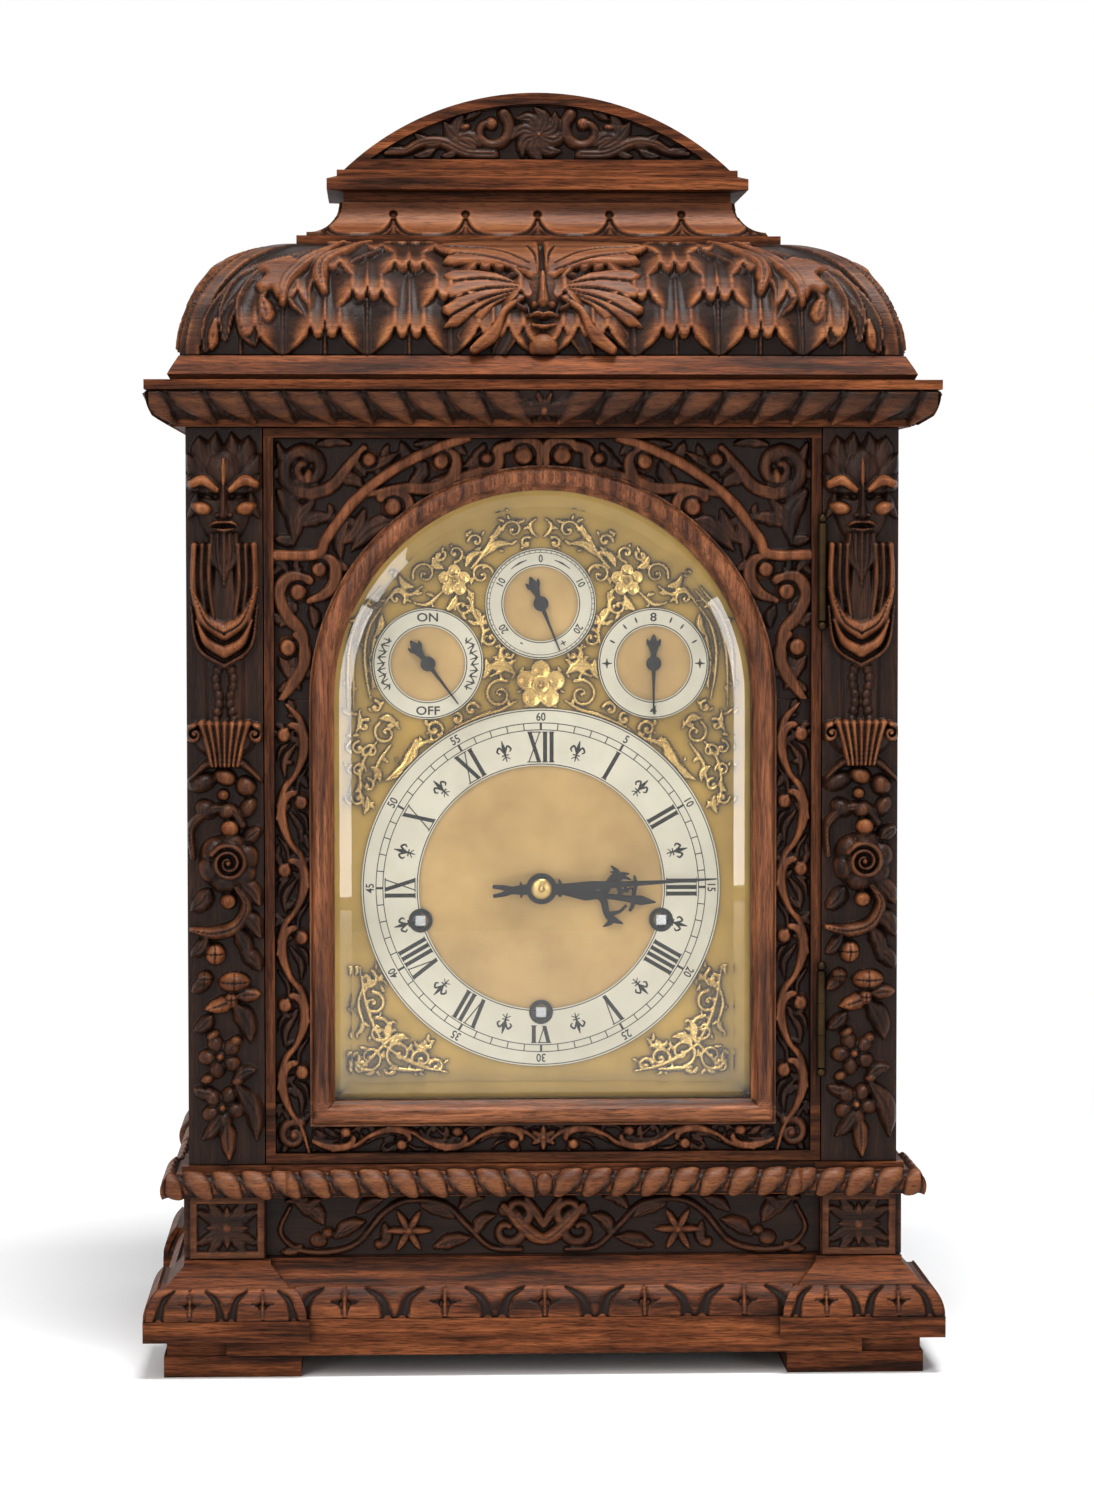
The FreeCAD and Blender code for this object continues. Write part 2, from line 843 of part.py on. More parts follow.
def pilaster(mortises):
    """A front stile with its carving blocked out: mask, drapery, scrolled capital, rose, fruit and tip."""
    middle = half_w - size.pilaster_width / 2
    post = box(pilaster_inner, half_w, front, pilaster_back, z_body, z_cornice)
    capital_top = z_cornice - size.capital_drop
    capital = box(
        middle - size.capital_half_width,
        middle + size.capital_half_width,
        front - size.capital_relief,
        front,
        capital_top - size.capital_height,
        capital_top,
    )
    carving = (
        (size.mask_half_width, size.mask_relief, size.mask_half_height, z_cornice - size.mask_drop),
        (size.swag_half_width, size.swag_relief, size.swag_half_height, z_cornice - size.swag_drop),
        (size.rose_half_width, size.rose_relief, size.rose_half_height, z_body + size.rose_height),
        (size.fruit_half_width, size.fruit_relief, size.fruit_half_height, z_body + size.fruit_height),
        (size.tip_half_width, size.tip_relief, size.tip_half_height, z_body + size.tip_height),
    )
    swells = [ellipsoid(wide, deep, tall, middle, front, z) for wide, deep, tall, z in carving]
    solid = fuse(post, capital, *swells)
    return cut(solid, *mortises) if mortises else solid


node("pilasters", group(pilaster(front_hinge.mortises(1)), mirror(pilaster([]), "x")))

fret_y = (pilaster_back + back_inner) / 2
z_fret_low = z_body + size.fret_sill
z_fret_arch = z_body + size.fret_arch_height


def side_arch(half, z_low, x0, x1):
    """A round-topped slab across one side of the case."""
    straight = box(x0, x1, fret_y - half, fret_y + half, z_low, z_fret_arch)
    return fuse(straight, rod(half, x0, fret_y, z_fret_arch, as_size(x1) - x0, "x"))


def side_panel():
    board = box(side_inner, half_w, pilaster_back, back_inner, z_body, z_cornice)
    window = side_arch(size.fret_half_width, z_fret_low, side_inner - OVERCUT, half_w + OVERCUT)
    lap = size.fret_lap + size.seat_clearance
    rebate_floor = side_inner + size.fret_thickness
    rebate = side_arch(size.fret_half_width + lap, z_fret_low - lap, side_inner - OVERCUT, rebate_floor)
    return cut(board, window, rebate)


def sound_fret():
    """A pierced plate in the rebate on the inner face of the side."""
    half = size.fret_half_width + size.fret_lap
    plate = side_arch(half, z_fret_low - size.fret_lap, side_inner, side_inner + size.fret_thickness)
    holes = []
    deep = size.fret_thickness + OVERCUT * 2
    pitch = size.fret_pitch.value
    radius = size.fret_hole_radius.value
    rows = int((z_fret_arch.value + size.fret_half_width.value - z_fret_low.value) / pitch)
    for row in range(rows):
        z = z_fret_low + size.fret_pitch * (row + 0.6)
        shift = 0.5 * (row % 2)
        across = int(size.fret_half_width.value / pitch) + 1
        for column in range(-across, across + 1):
            y = size.fret_pitch * (column + shift)
            over = max(z.value - z_fret_arch.value, 0.0)
            limit = math.sqrt(max(size.fret_half_width.value ** 2 - over ** 2, 0.0)) - radius
            if abs(y.value) <= limit:
                holes.append(rod(size.fret_hole_radius, side_inner - OVERCUT, fret_y + y, z, deep, "x"))
    return cut(plate, group(*holes))


node("side_panels", group(side_panel(), mirror(side_panel(), "x")))
node("sound_frets", group(sound_fret(), mirror(sound_fret(), "x")))

rear_low = z_body + size.back_rail
rear_high = z_cornice - size.back_rail
back_board = box(-half_w, half_w, back_inner, back, z_body, z_cornice)
back_opening = box(-rear_half, rear_half, back_inner - OVERCUT, back + OVERCUT, rear_low, rear_high)
node("back_frame", cut(back_board, back_opening, *rear_hinge.mortises(-1)))


# The rear door

rear_door_half = rear_half - size.door_gap
rear_pane_half = rear_door_half - size.rear_door_stile
rear_pane_low = rear_low + size.rear_door_stile
rear_pane_high = rear_high - size.rear_door_stile
rear_lap = size.rear_glass_lap
rear_rebate = back_inner + size.back_thickness / 2
rear_board = box(
    -rear_door_half, rear_door_half, back_inner, back, rear_low + size.door_gap, rear_high - size.door_gap
)
rear_window = box(
    -rear_pane_half,
    rear_pane_half,
    back_inner - OVERCUT,
    back + OVERCUT,
    rear_pane_low,
    rear_pane_high,
)
rear_seat = box(
    -rear_pane_half - rear_lap - size.seat_clearance,
    rear_pane_half + rear_lap + size.seat_clearance,
    back_inner - OVERCUT,
    rear_rebate,
    rear_pane_low - rear_lap - size.seat_clearance,
    rear_pane_high + rear_lap + size.seat_clearance,
)
node("rear_door_frame", cut(rear_board, rear_window, rear_seat, *rear_hinge.mortises(1)))
node(
    "rear_door_glass",
    box(
        -rear_pane_half - rear_lap,
        rear_pane_half + rear_lap,
        rear_rebate - size.rear_glass_thickness,
        rear_rebate,
        rear_pane_low - rear_lap,
        rear_pane_high + rear_lap,
    ),
)
node("rear_door_leaves", rear_hinge.door_leaves())
knob_x = rear_door_half - size.rear_door_stile / 2
knob_z = (rear_low + rear_high) / 2
node(
    "rear_door_knob",
    fuse(
        rod(size.knob_radius * 0.5, knob_x, back, knob_z, size.knob_length * 0.6),
        ball(size.knob_radius, knob_x, back + size.knob_length * 0.8, knob_z),
    ),
)


# The front door

door_low = z_body + size.door_gap
door_high = z_cornice - size.door_gap
door_back = front + size.door_thickness
glass_front = front + size.glass_setback
bead_outer = sight + size.bead_width
glass_half = sight + size.glass_lap
glass_low = z_sill - size.glass_lap

door_board = box(-door_half, door_half, front, door_back, door_low, door_high)
carved_ground = box(
    size.door_border - door_half,
    door_half - size.door_border,
    front - OVERCUT,
    front + size.ground_depth,
    door_low + size.door_border,
    door_high - size.door_border,
)
node(
    "door_frame",
    cut(
        door_board,
        carved_ground,
        arch(bead_outer, z_sill - size.bead_width, front - OVERCUT, glass_front),
        arch(
            glass_half + size.seat_clearance,
            glass_low - size.seat_clearance,
            front - OVERCUT,
            door_back + OVERCUT,
        ),
        *front_hinge.mortises(-1),
    ),
)


def arch_ring(outer, inner, y0, y1):
    """A flat band that follows the sight opening, a set way outside it."""
    hole = arch(sight + inner, z_sill - inner, as_size(y0) - OVERCUT, as_size(y1) + OVERCUT)
    return cut(arch(sight + outer, z_sill - outer, y0, y1), hole)


bead_shoulder = front + size.bead_step
node(
    "door_bead",
    fuse(
        arch_ring(size.bead_width, as_size(0), bead_shoulder, glass_front),
        arch_ring(size.bead_width - size.bead_step, size.bead_step, front - size.bead_proud, bead_shoulder),
    ),
)


def bevelled_glass():
    """A round-topped pane whose front edge is ground back in one step."""
    bevel = size.glass_bevel_width
    back_half = arch(glass_half, glass_low, glass_front, glass_front + size.glass_thickness)
    land = glass_front + size.glass_bevel_depth
    flat = arch(sight - bevel, z_sill + bevel, glass_front - OVERCUT, land)
    rim_zone = arch(sight, z_sill, glass_front - OVERCUT, land)
    return cut(back_half, cut(rim_zone, flat))


node("door_glass", bevelled_glass())
node("door_hinge_leaves", front_hinge.door_leaves())
node("case_hinge_leaves", group(*front_hinge.case_leaves(), *rear_hinge.case_leaves()))
node("hinge_pins", group(*front_hinge.pins(), *rear_hinge.pins()))


# The dial and what is fixed on it

surround_board = box(-side_inner, side_inner, surround_front, dial_front, z_body, z_cornice)
surround_hole = arch(sight, z_sill, surround_front - OVERCUT, dial_front + OVERCUT)
pilaster_notch = box(
    pilaster_inner, half_w, front, pilaster_back, z_body - OVERCUT, z_cornice + OVERCUT
)
node("dial_surround", cut(surround_board, surround_hole, pilaster_notch, mirror(pilaster_notch, "x")))

WINDING = {
    "strike": (-size.winding_offset, z_dial - size.winding_drop),
    "chime": (size.winding_offset, z_dial - size.winding_drop),
    "going": (as_size(0), z_going),
}
SUBDIALS = {
    "regulator": (as_size(0), z_top_dial),
    "chime_silent": (-size.subdial_side_offset, z_side_dials),
    "tune": (size.subdial_side_offset, z_side_dials),
}
bore_start = dial_front - size.ring_thickness - OVERCUT
bore_length = size.ring_thickness + size.dial_thickness + OVERCUT * 2
drum_x = size.winding_offset + size.drum_offset
hammer_x = drum_x + size.hammer_reach
plate_half = hammer_x + size.plate_edge
dial_foot_x = plate_half - size.dial_foot_inset
plate_corner_x = plate_half - size.pillar_inset
DIAL_FEET_Z = (z_seat + size.pillar_inset * 2, z_plate_top - size.pillar_inset * 2)


def winding_holes():
    return [rod(size.winding_hole_radius, x, bore_start, z, bore_length) for x, z in WINDING.values()]


def dial_plate():
    """An arched brass plate, bored for every arbor, with four feet riveted to its back."""
    half = sight + size.dial_lap
    plate = arch(half, z_sill - size.dial_lap, dial_front, dial_back)
    small_bore = size.small_arbor_radius + size.running_fit
    holes = winding_holes()
    holes += [rod(small_bore, x, bore_start, z, bore_length) for x, z in SUBDIALS.values()]
    holes.append(rod(size.hour_pipe_radius + size.seat_clearance, 0, bore_start, z_dial, bore_length))
    feet = [
        rod(size.dial_foot_radius, dial_foot_x * side, dial_back, z, size.dial_to_plate)
        for side in (-1, 1)
        for z in DIAL_FEET_Z
    ]
    return fuse(cut(plate, *holes), *feet)


node("dial_plate", dial_plate())


def flat_ring(outer, inner, x, z, thickness):
    """A ring that lies on the front of the dial plate."""
    y0 = dial_front - thickness
    return cut(rod(outer, x, y0, z, thickness), rod(inner, x, y0 - OVERCUT, z, thickness + OVERCUT * 2))


chapter_inner = size.chapter_radius - size.chapter_band
chapter_ring = flat_ring(size.chapter_radius, chapter_inner, 0, z_dial, size.ring_thickness)
node("chapter_ring", cut(chapter_ring, *winding_holes()))
small_rings = [
    flat_ring(size.subdial_radius, size.subdial_radius - size.subdial_band, x, z, size.ring_thickness)
    for x, z in SUBDIALS.values()
]
node("subsidiary_rings", group(*small_rings))
spandrel_front = dial_front - size.spandrel_thickness


def ring_clearance(radius, x, z):
    deep = size.spandrel_thickness + OVERCUT * 2
    return rod(radius + size.spandrel_gap, x, spandrel_front - OVERCUT, z, deep)


def arch_spandrel():
    """The cast ornament that fills the arch round the three small dials."""
    half = sight - size.spandrel_margin
    field = arch(half, z_dial + size.chapter_radius * 0.25, spandrel_front, dial_front)
    holes = [ring_clearance(size.subdial_radius, x, z) for x, z in SUBDIALS.values()]
    return cut(field, ring_clearance(size.chapter_radius, 0, z_dial), *holes)


def corner_spandrel():
    edge = sight - size.spandrel_margin
    low = z_sill + size.spandrel_margin
    field = box(
        edge - size.corner_spandrel_width,
        edge,
        spandrel_front,
        dial_front,
        low,
        low + size.corner_spandrel_height,
    )
    return cut(field, ring_clearance(size.chapter_radius, 0, z_dial))


node("arch_spandrel", arch_spandrel())
node("corner_spandrels", group(corner_spandrel(), mirror(corner_spandrel(), "x")))


# Hands


def turned(thing, x, y, z, angle):
    """Puts a piece drawn pointing up at the origin on its arbor, turned clockwise by a sheet angle."""
    place(thing, x, y, z, FreeCAD.Rotation(Vector(0, 1, 0), angle.value))
    bind(thing, "Placement.Rotation.Angle", angle)
    return thing


def hand_blade(length, tail, width, boss_radius, bore):
    """A flat hand with a leaf-shaped blade and a tail, bored at its boss."""
    thick = size.hand_thickness
    blade = [
        (-width / 2, boss_radius * 0.6),
        (width / 2, boss_radius * 0.6),
        (width, length * 0.62),
        (width * 0.2, length * 0.78),
        (0, length),
        (-width * 0.2, length * 0.78),
        (-width, length * 0.62),
    ]
    pieces = [extrude(outline(blade, FRONT_TURN), thick), rod(boss_radius, 0, -thick / 2, 0, thick)]
    if tail:
        counterpoise = [
            (-width / 3, -tail * 0.75),
            (0, -tail),
            (width / 3, -tail * 0.75),
            (width / 3, -boss_radius * 0.6),
            (-width / 3, -boss_radius * 0.6),
        ]
        pieces.append(extrude(outline(counterpoise, FRONT_TURN), thick))
    return cut(fuse(*pieces), rod(bore, 0, -thick, 0, thick * 2))


hour_hand_y = dial_front - size.hour_hand_stand
minute_hand_y = dial_front - size.minute_hand_stand
hour_hand = hand_blade(
    size.hour_hand_length, None, size.hand_width, size.hand_boss_radius, size.hour_pipe_radius
)
node("hour_hand", turned(hour_hand, 0, hour_hand_y, z_dial, size.hour_rest_angle))
minute_hand = hand_blade(
    size.minute_hand_length,
    size.minute_hand_tail,
    size.minute_hand_width,
    size.collet_radius,
    size.cannon_pipe_radius,
)
node("minute_hand", turned(minute_hand, 0, minute_hand_y, z_dial, size.minute_rest_angle))
collet_back = minute_hand_y - size.hand_thickness / 2
collet_front = collet_back - size.collet_thickness
collet = cut(
    rod(size.collet_radius, 0, collet_front, z_dial, size.collet_thickness),
    rod(size.cannon_pipe_radius, 0, collet_front - OVERCUT, z_dial, size.collet_thickness + OVERCUT * 2),
)
node("hand_collet", collet)


def small_hand(name, angle):
    x, z = SUBDIALS[name]
    blade = hand_blade(
        size.small_hand_length,
        size.small_hand_tail,
        size.small_hand_width,
        size.small_hand_boss_radius,
        size.small_arbor_radius * 0.5,
    )
    arbor = rod(size.small_arbor_radius, 0, -size.hand_thickness / 2, 0, size.small_arbor_length)
    return turned(fuse(blade, arbor), x, dial_front - size.small_hand_stand, z, angle)


node("regulator_hand", small_hand("regulator", size.regulator_rest_angle))
node("chime_silent_hand", small_hand("chime_silent", size.chime_silent_rest_angle))
node("tune_hand", small_hand("tune", size.tune_rest_angle))


# Toothed wheels: one outline of straight-sided teeth, whose count and module come from the sheet

PITCH_WIDTH = 0.36
TIP_WIDTH = 0.12
ADDENDUM = 0.7
DEDENDUM = 1.2


def toothed(teeth, module, thickness, phase):
    """A toothed disc in the plane across Y, with a tooth at the phase angle, measured from +X to +Z."""
    count = int(teeth.value)
    pitch = 2 * math.pi / count
    radius = module.value * count / 2
    tip, foot = radius + ADDENDUM * module.value, radius - DEDENDUM * module.value
    foot_share = PITCH_WIDTH + (PITCH_WIDTH - TIP_WIDTH) * DEDENDUM / ADDENDUM
    points = []
    for k in range(count):
        for share, reach in ((-foot_share, foot), (-TIP_WIDTH, tip), (TIP_WIDTH, tip), (foot_share, foot)):
            angle = phase + pitch * (k + share / 2)
            points.append(Vector(reach * math.cos(angle), 0, reach * math.sin(angle)))
    face = Part.Face(Part.makePolygon(points + points[:1]))
    thing = add("Part::Feature", "toothed")
    thing.Shape = face.extrude(Vector(0, thickness.value, 0))
    return thing


def in_mesh(driver_phase, driver_teeth, teeth, direction):
    """The phase that sets a wheel's gap on the driver's tooth; direction runs from driver to wheel."""
    ahead = (direction - driver_phase) / (2 * math.pi / driver_teeth.value)
    return direction + math.pi - (0.5 - ahead) * 2 * math.pi / teeth.value


def bearing(start, end):
    return math.atan2(end[1].value - start[1].value, end[0].value - start[0].value)


CENTRE = (as_size(0), z_dial)
GOING = WINDING["going"]
INTERMEDIATE = (size.intermediate_offset, z_intermediate)
third_reach = meshed(size.centre_teeth, size.third_pinion, size.train_module)
THIRD = (-size.third_offset, z_dial + leg(third_reach, size.third_offset))
escape_reach = meshed(size.third_teeth, size.escape_pinion, size.train_module)
ESCAPE = (as_size(0), THIRD[1] + leg(escape_reach, size.third_offset))
PALLETS = (as_size(0), ESCAPE[1] + size.pallet_rise)
motion_reach = meshed(size.cannon_teeth, size.cannon_teeth, size.motion_module)
MOTION = (size.motion_offset, z_dial + leg(motion_reach, size.motion_offset))
hour_module = (motion_reach - size.mesh_clearance) * 2 / (size.minute_pinion + size.hour_teeth)
drum_reach = meshed(size.great_teeth, size.drum_teeth, size.great_module)
CHIME = WINDING["chime"]
DRUM = (drum_x, CHIME[1] + leg(drum_reach, size.drum_offset))

# Layers of the train between the plates, from the front plate back
great_y = train_front + size.barrel_setback + size.barrel_length
front_layer = train_front + size.wheel_thickness
third_layer = train_front + size.plate_spacing * 0.5
escape_layer = train_front + size.plate_spacing * 0.72
rear_layer = train_back - size.wheel_thickness * 2
thin = size.wheel_thickness / 2


def wheel(teeth, module, at, y, phase, thickness=size.wheel_thickness):
    return place(toothed(teeth, module, thickness, phase), at[0], y, at[1])


def pinion(teeth, module, at, y, phase):
    """A pinion twice as wide as the wheel at y that it meshes with."""
    return wheel(teeth, module, at, y - size.wheel_thickness / 2, phase, size.wheel_thickness * 2)


def train_arbor(at):
    """An arbor between the plates with a pivot in each."""
    shake = size.end_shake
    body = rod(size.arbor_radius, at[0], train_front + shake, at[1], size.plate_spacing - shake * 2)
    pivots = rod(size.pivot_radius, at[0], plate_front, at[1], plate_back - plate_front)
    return fuse(body, pivots)


great_phase = bearing(GOING, INTERMEDIATE)


def barrel(at, phase):
    """A spring barrel with its great wheel, free on the winding arbor."""
    drum = rod(size.barrel_radius, at[0], train_front + size.barrel_setback, at[1], size.barrel_length)
    great = wheel(size.great_teeth, size.great_module, at, great_y, phase)
    bore = rod(
        size.winding_arbor_radius + size.running_fit, at[0], train_front, at[1], size.plate_spacing
    )
    return cut(fuse(drum, great), bore)


def winding_arbor(at):
    """Arbor, ratchet wheel and the square that the key turns."""
    x, z = at
    half = size.winding_square / 2
    ratchet_y = plate_front - size.ratchet_thickness - size.end_shake
    square_front = dial_front - size.square_proud
    return fuse(
        rod(size.winding_arbor_radius, x, ratchet_y, z, plate_back - ratchet_y),
        rod(size.ratchet_radius, x, ratchet_y, z, size.ratchet_thickness),
        box(x - half, x + half, square_front, ratchet_y, z - half, z + half),
    )


for name, at in WINDING.items():
    node("%s_barrel" % name, barrel(at, great_phase if name != "chime" else bearing(CHIME, DRUM)))
    node("%s_winding_arbor" % name, winding_arbor(at))

pinion_phase = in_mesh(great_phase, size.great_teeth, size.intermediate_pinion, great_phase)
intermediate_phase = bearing(INTERMEDIATE, CENTRE)
node(
    "intermediate_wheel",
    fuse(
        train_arbor(INTERMEDIATE),
        pinion(size.intermediate_pinion, size.great_module, INTERMEDIATE, great_y, pinion_phase),
        wheel(
            size.intermediate_teeth,
            size.intermediate_module,
            INTERMEDIATE,
            front_layer,
            intermediate_phase,
        ),
    ),
)

cannon_y = plate_front - size.wheel_thickness - size.end_shake
cannon_front = collet_front
motion_phase = bearing(CENTRE, MOTION)
centre_phase = bearing(CENTRE, THIRD)
centre_pinion_phase = in_mesh(
    intermediate_phase, size.intermediate_teeth, size.centre_pinion, intermediate_phase
)
node(
    "centre_wheel",
    fuse(
        train_arbor(CENTRE),
        pinion(size.centre_pinion, size.intermediate_module, CENTRE, front_layer, centre_pinion_phase),
        wheel(size.centre_teeth, size.train_module, CENTRE, rear_layer, centre_phase),
        rod(size.pivot_radius, 0, cannon_y, z_dial, plate_back - cannon_y),
        wheel(size.cannon_teeth, size.motion_module, CENTRE, cannon_y, motion_phase),
        rod(size.cannon_pipe_radius, 0, cannon_front, z_dial, cannon_y - cannon_front),
    ),
)

third_phase = in_mesh(centre_phase, size.centre_teeth, size.third_pinion, centre_phase)
third_wheel_phase = bearing(THIRD, ESCAPE)
node(
    "third_wheel",
    fuse(
        train_arbor(THIRD),
        pinion(size.third_pinion, size.train_module, THIRD, rear_layer, third_phase),
        wheel(size.third_teeth, size.train_module, THIRD, third_layer, third_wheel_phase, thin),
    ),
)

escape_phase = in_mesh(third_wheel_phase, size.third_teeth, size.escape_pinion, third_wheel_phase)


# The escape wheel's root as a share of its radius, and its teeth in shares of their pitch
ESCAPE_ROOT = 0.8
ESCAPE_TOOTH = 0.2
ESCAPE_LEAN = 0.29


def escape_disc():
    """A ring of pointed teeth that lean forward, as in a recoil escapement."""
    count = int(size.escape_teeth.value)
    pitch = 2 * math.pi / count
    tip = size.escape_radius.value
    foot = tip * ESCAPE_ROOT
    corners = ((foot, -ESCAPE_TOOTH), (tip, ESCAPE_LEAN), (foot, ESCAPE_TOOTH))
    points = []
    for k in range(count):
        for reach, share in corners:
            angle = pitch * (k + share)
            points.append(Vector(reach * math.cos(angle), 0, reach * math.sin(angle)))
    face = Part.Face(Part.makePolygon(points + points[:1]))
    thing = add("Part::Feature", "escape_disc")
    thing.Shape = face.extrude(Vector(0, thin.value, 0))
    return place(thing, ESCAPE[0], escape_layer, ESCAPE[1])


node(
    "escape_wheel",
    fuse(
        train_arbor(ESCAPE),
        pinion(size.escape_pinion, size.train_module, ESCAPE, third_layer, escape_phase),
        escape_disc(),
    ),
)

minute_wheel_phase = in_mesh(motion_phase, size.cannon_teeth, size.cannon_teeth, motion_phase)
back_bearing = bearing(MOTION, CENTRE)
hour_y = cannon_y - size.wheel_thickness * 1.5
stud_length = size.dial_to_plate * 0.7
leaf_y = hour_y - thin / 2
minute_wheel_solid = fuse(
    wheel(size.cannon_teeth, size.motion_module, MOTION, cannon_y, minute_wheel_phase),
    wheel(size.minute_pinion, hour_module, MOTION, leaf_y, back_bearing, cannon_y - leaf_y),
)
stud_fit = size.motion_stud_radius + size.running_fit
stud_bore = rod(stud_fit, MOTION[0], dial_back, MOTION[1], size.dial_to_plate)
node("minute_wheel", cut(minute_wheel_solid, stud_bore))
hour_phase = in_mesh(back_bearing, size.minute_pinion, size.hour_teeth, back_bearing)
hour_pipe_front = hour_hand_y - size.hand_thickness / 2
hour_pipe_length = hour_y - hour_pipe_front + thin
hour_solid = fuse(
    wheel(size.hour_teeth, hour_module, CENTRE, hour_y, hour_phase, thin),
    rod(size.hour_pipe_radius, 0, hour_pipe_front, z_dial, hour_pipe_length),
)
hour_fit = size.cannon_pipe_radius + size.running_fit
hour_bore = rod(hour_fit, 0, hour_pipe_front - OVERCUT, z_dial, hour_pipe_length + OVERCUT * 2)
node("hour_wheel", cut(hour_solid, hour_bore))


# The movement's plates, pillars and seat board


def movement_plate(y, pivots):
    plate = box(-plate_half, plate_half, y, y + size.plate_thickness, z_seat, z_plate_top)
    fits = [(size.winding_arbor_radius + size.running_fit, at) for at in WINDING.values()]
    fits += [(size.pivot_radius + size.running_fit, at) for at in pivots]
    deep = size.plate_thickness + OVERCUT * 2
    return cut(plate, *[rod(radius, x, y - OVERCUT, z, deep) for radius, (x, z) in fits])


TRAIN = [INTERMEDIATE, CENTRE, THIRD, ESCAPE, PALLETS, DRUM]
motion_stud = rod(size.motion_stud_radius, MOTION[0], plate_front - stud_length, MOTION[1], stud_length)
node("front_plate", fuse(movement_plate(plate_front, TRAIN), motion_stud))
node("back_plate", movement_plate(train_back, TRAIN))

hammer_z = DRUM[1] - size.hammer_pivot_drop
HAMMERS = ((hammer_x, hammer_z), (-hammer_x, hammer_z))
pillar_z = (z_seat + size.pillar_inset, z_plate_top - size.pillar_inset)
pillars = [
    rod(size.pillar_radius, plate_corner_x * side, train_front, z, size.plate_spacing)
    for side in (-1, 1)
    for z in pillar_z
]
hammer_rods = [rod(size.hammer_rod_radius, x, train_front, z, size.plate_spacing) for x, z in HAMMERS]
node("plate_pillars", group(*pillars, *hammer_rods))

gong_x = hammer_x + size.hammer_head_length / 2 + size.gong_gap + size.gong_radius
notch_half = size.gong_radius + size.gong_gap
seat_board = box(-side_inner, side_inner, plate_front, plate_back, z_seat_low, z_seat)
gong_notch = box(
    gong_x - notch_half,
    gong_x + notch_half,
    train_front,
    train_back,
    z_seat_low - OVERCUT,
    z_seat + OVERCUT,
)
node("seat_board", cut(seat_board, gong_notch, mirror(gong_notch, "x")))


# Escapement and pendulum

# The pallets' reach and the height of their faces, in shares of the escape wheel's radius
PALLET_REACH = 0.82
PALLET_DROP = 0.68

crutch_y = plate_back + size.end_shake
pendulum_y = plate_back + size.pendulum_stand
anchor_reach = size.escape_radius * PALLET_REACH
z_crutch_pin = PALLETS[1] - size.crutch_length + size.crutch_width


def anchor():
    """Two pallets on one arm, set clear of the wheel, with the arbor and the crutch behind the plate."""
    y0 = escape_layer
    y1 = escape_layer + thin
    z = PALLETS[1]
    rise = size.pallet_arm_height / 2
    drop = size.pallet_rise - size.escape_radius * PALLET_DROP
    arm = box(-anchor_reach, anchor_reach, y0, y1, z - rise, z + rise)
    pad_half = size.pallet_width / 2
    pad = box(anchor_reach - pad_half, anchor_reach + pad_half, y0, y1, z - drop, z + rise)
    clear = rod(size.escape_radius + size.pallet_clearance, 0, y0 - OVERCUT, ESCAPE[1], thin + OVERCUT * 2)
    pallets = cut(fuse(arm, pad, mirror(pad, "x")), clear)
    crutch_back = crutch_y + size.wheel_thickness
    half = size.crutch_width / 2
    arbor = rod(size.pivot_radius, 0, plate_front, z, crutch_back - plate_front)
    crutch = box(-half, half, crutch_y, crutch_back, z - size.crutch_length, z + size.arbor_radius)
    pin = rod(size.crutch_pin_radius, 0, crutch_y, z_crutch_pin, pendulum_y - crutch_y)
    return fuse(pallets, arbor, crutch, pin)


node("pallets", anchor())
suspension_z = PALLETS[1]
rod_foot = z_body + size.bob_gap
bob_z = rod_foot + size.rod_end + size.bob_radius
rod_top = suspension_z - size.suspension_length
pendulum_rod = rod(size.pendulum_rod_radius, 0, pendulum_y, rod_foot, rod_top - rod_foot, "z")
bob = ellipsoid(size.bob_radius, size.bob_thickness / 2, size.bob_radius, 0, pendulum_y, bob_z)
spring = box(
    -size.suspension_width / 2,
    size.suspension_width / 2,
    pendulum_y - size.suspension_thickness / 2,
    pendulum_y + size.suspension_thickness / 2,
    rod_top,
    suspension_z,
)
pin_hole = rod(size.crutch_pin_radius, 0, crutch_y, z_crutch_pin, pendulum_y - crutch_y)
node("pendulum", cut(fuse(pendulum_rod, bob, spring), pin_hole))
cock_half = size.cock_width / 2
cock_z = suspension_z + size.end_shake
node(
    "back_cock",
    fuse(
        box(
            -cock_half,
            cock_half,
            plate_back,
            plate_back + size.plate_thickness,
            cock_z + size.cock_height / 2,
            cock_z + size.cock_height,
        ),
        box(
            -size.suspension_width,
            size.suspension_width,
            plate_back,
            pendulum_y + size.plate_thickness,
            cock_z + size.arbor_radius,
            cock_z + size.cock_height,
        ),
        box(
            -size.suspension_width / 2,
            size.suspension_width / 2,
            pendulum_y - size.plate_thickness / 2,
            pendulum_y + size.plate_thickness / 2,
            cock_z,
            cock_z + size.cock_height,
        ),
    ),
)


# Chime drum, hammers and gongs

drum_phase = in_mesh(bearing(CHIME, DRUM), size.great_teeth, size.drum_teeth, bearing(CHIME, DRUM))
drum_front = train_front + size.wheel_thickness
hammer_span = size.hammer_pitch * (size.hammer_count - 1)
hammer_first = drum_front + (great_y - drum_front - hammer_span) / 2
# The lifting pins stand in a spiral, from one angle over one span, in degrees
PIN_START = 200.0
PIN_SPAN = 140.0


def hammer_y(index):
    return hammer_first + size.hammer_pitch * index


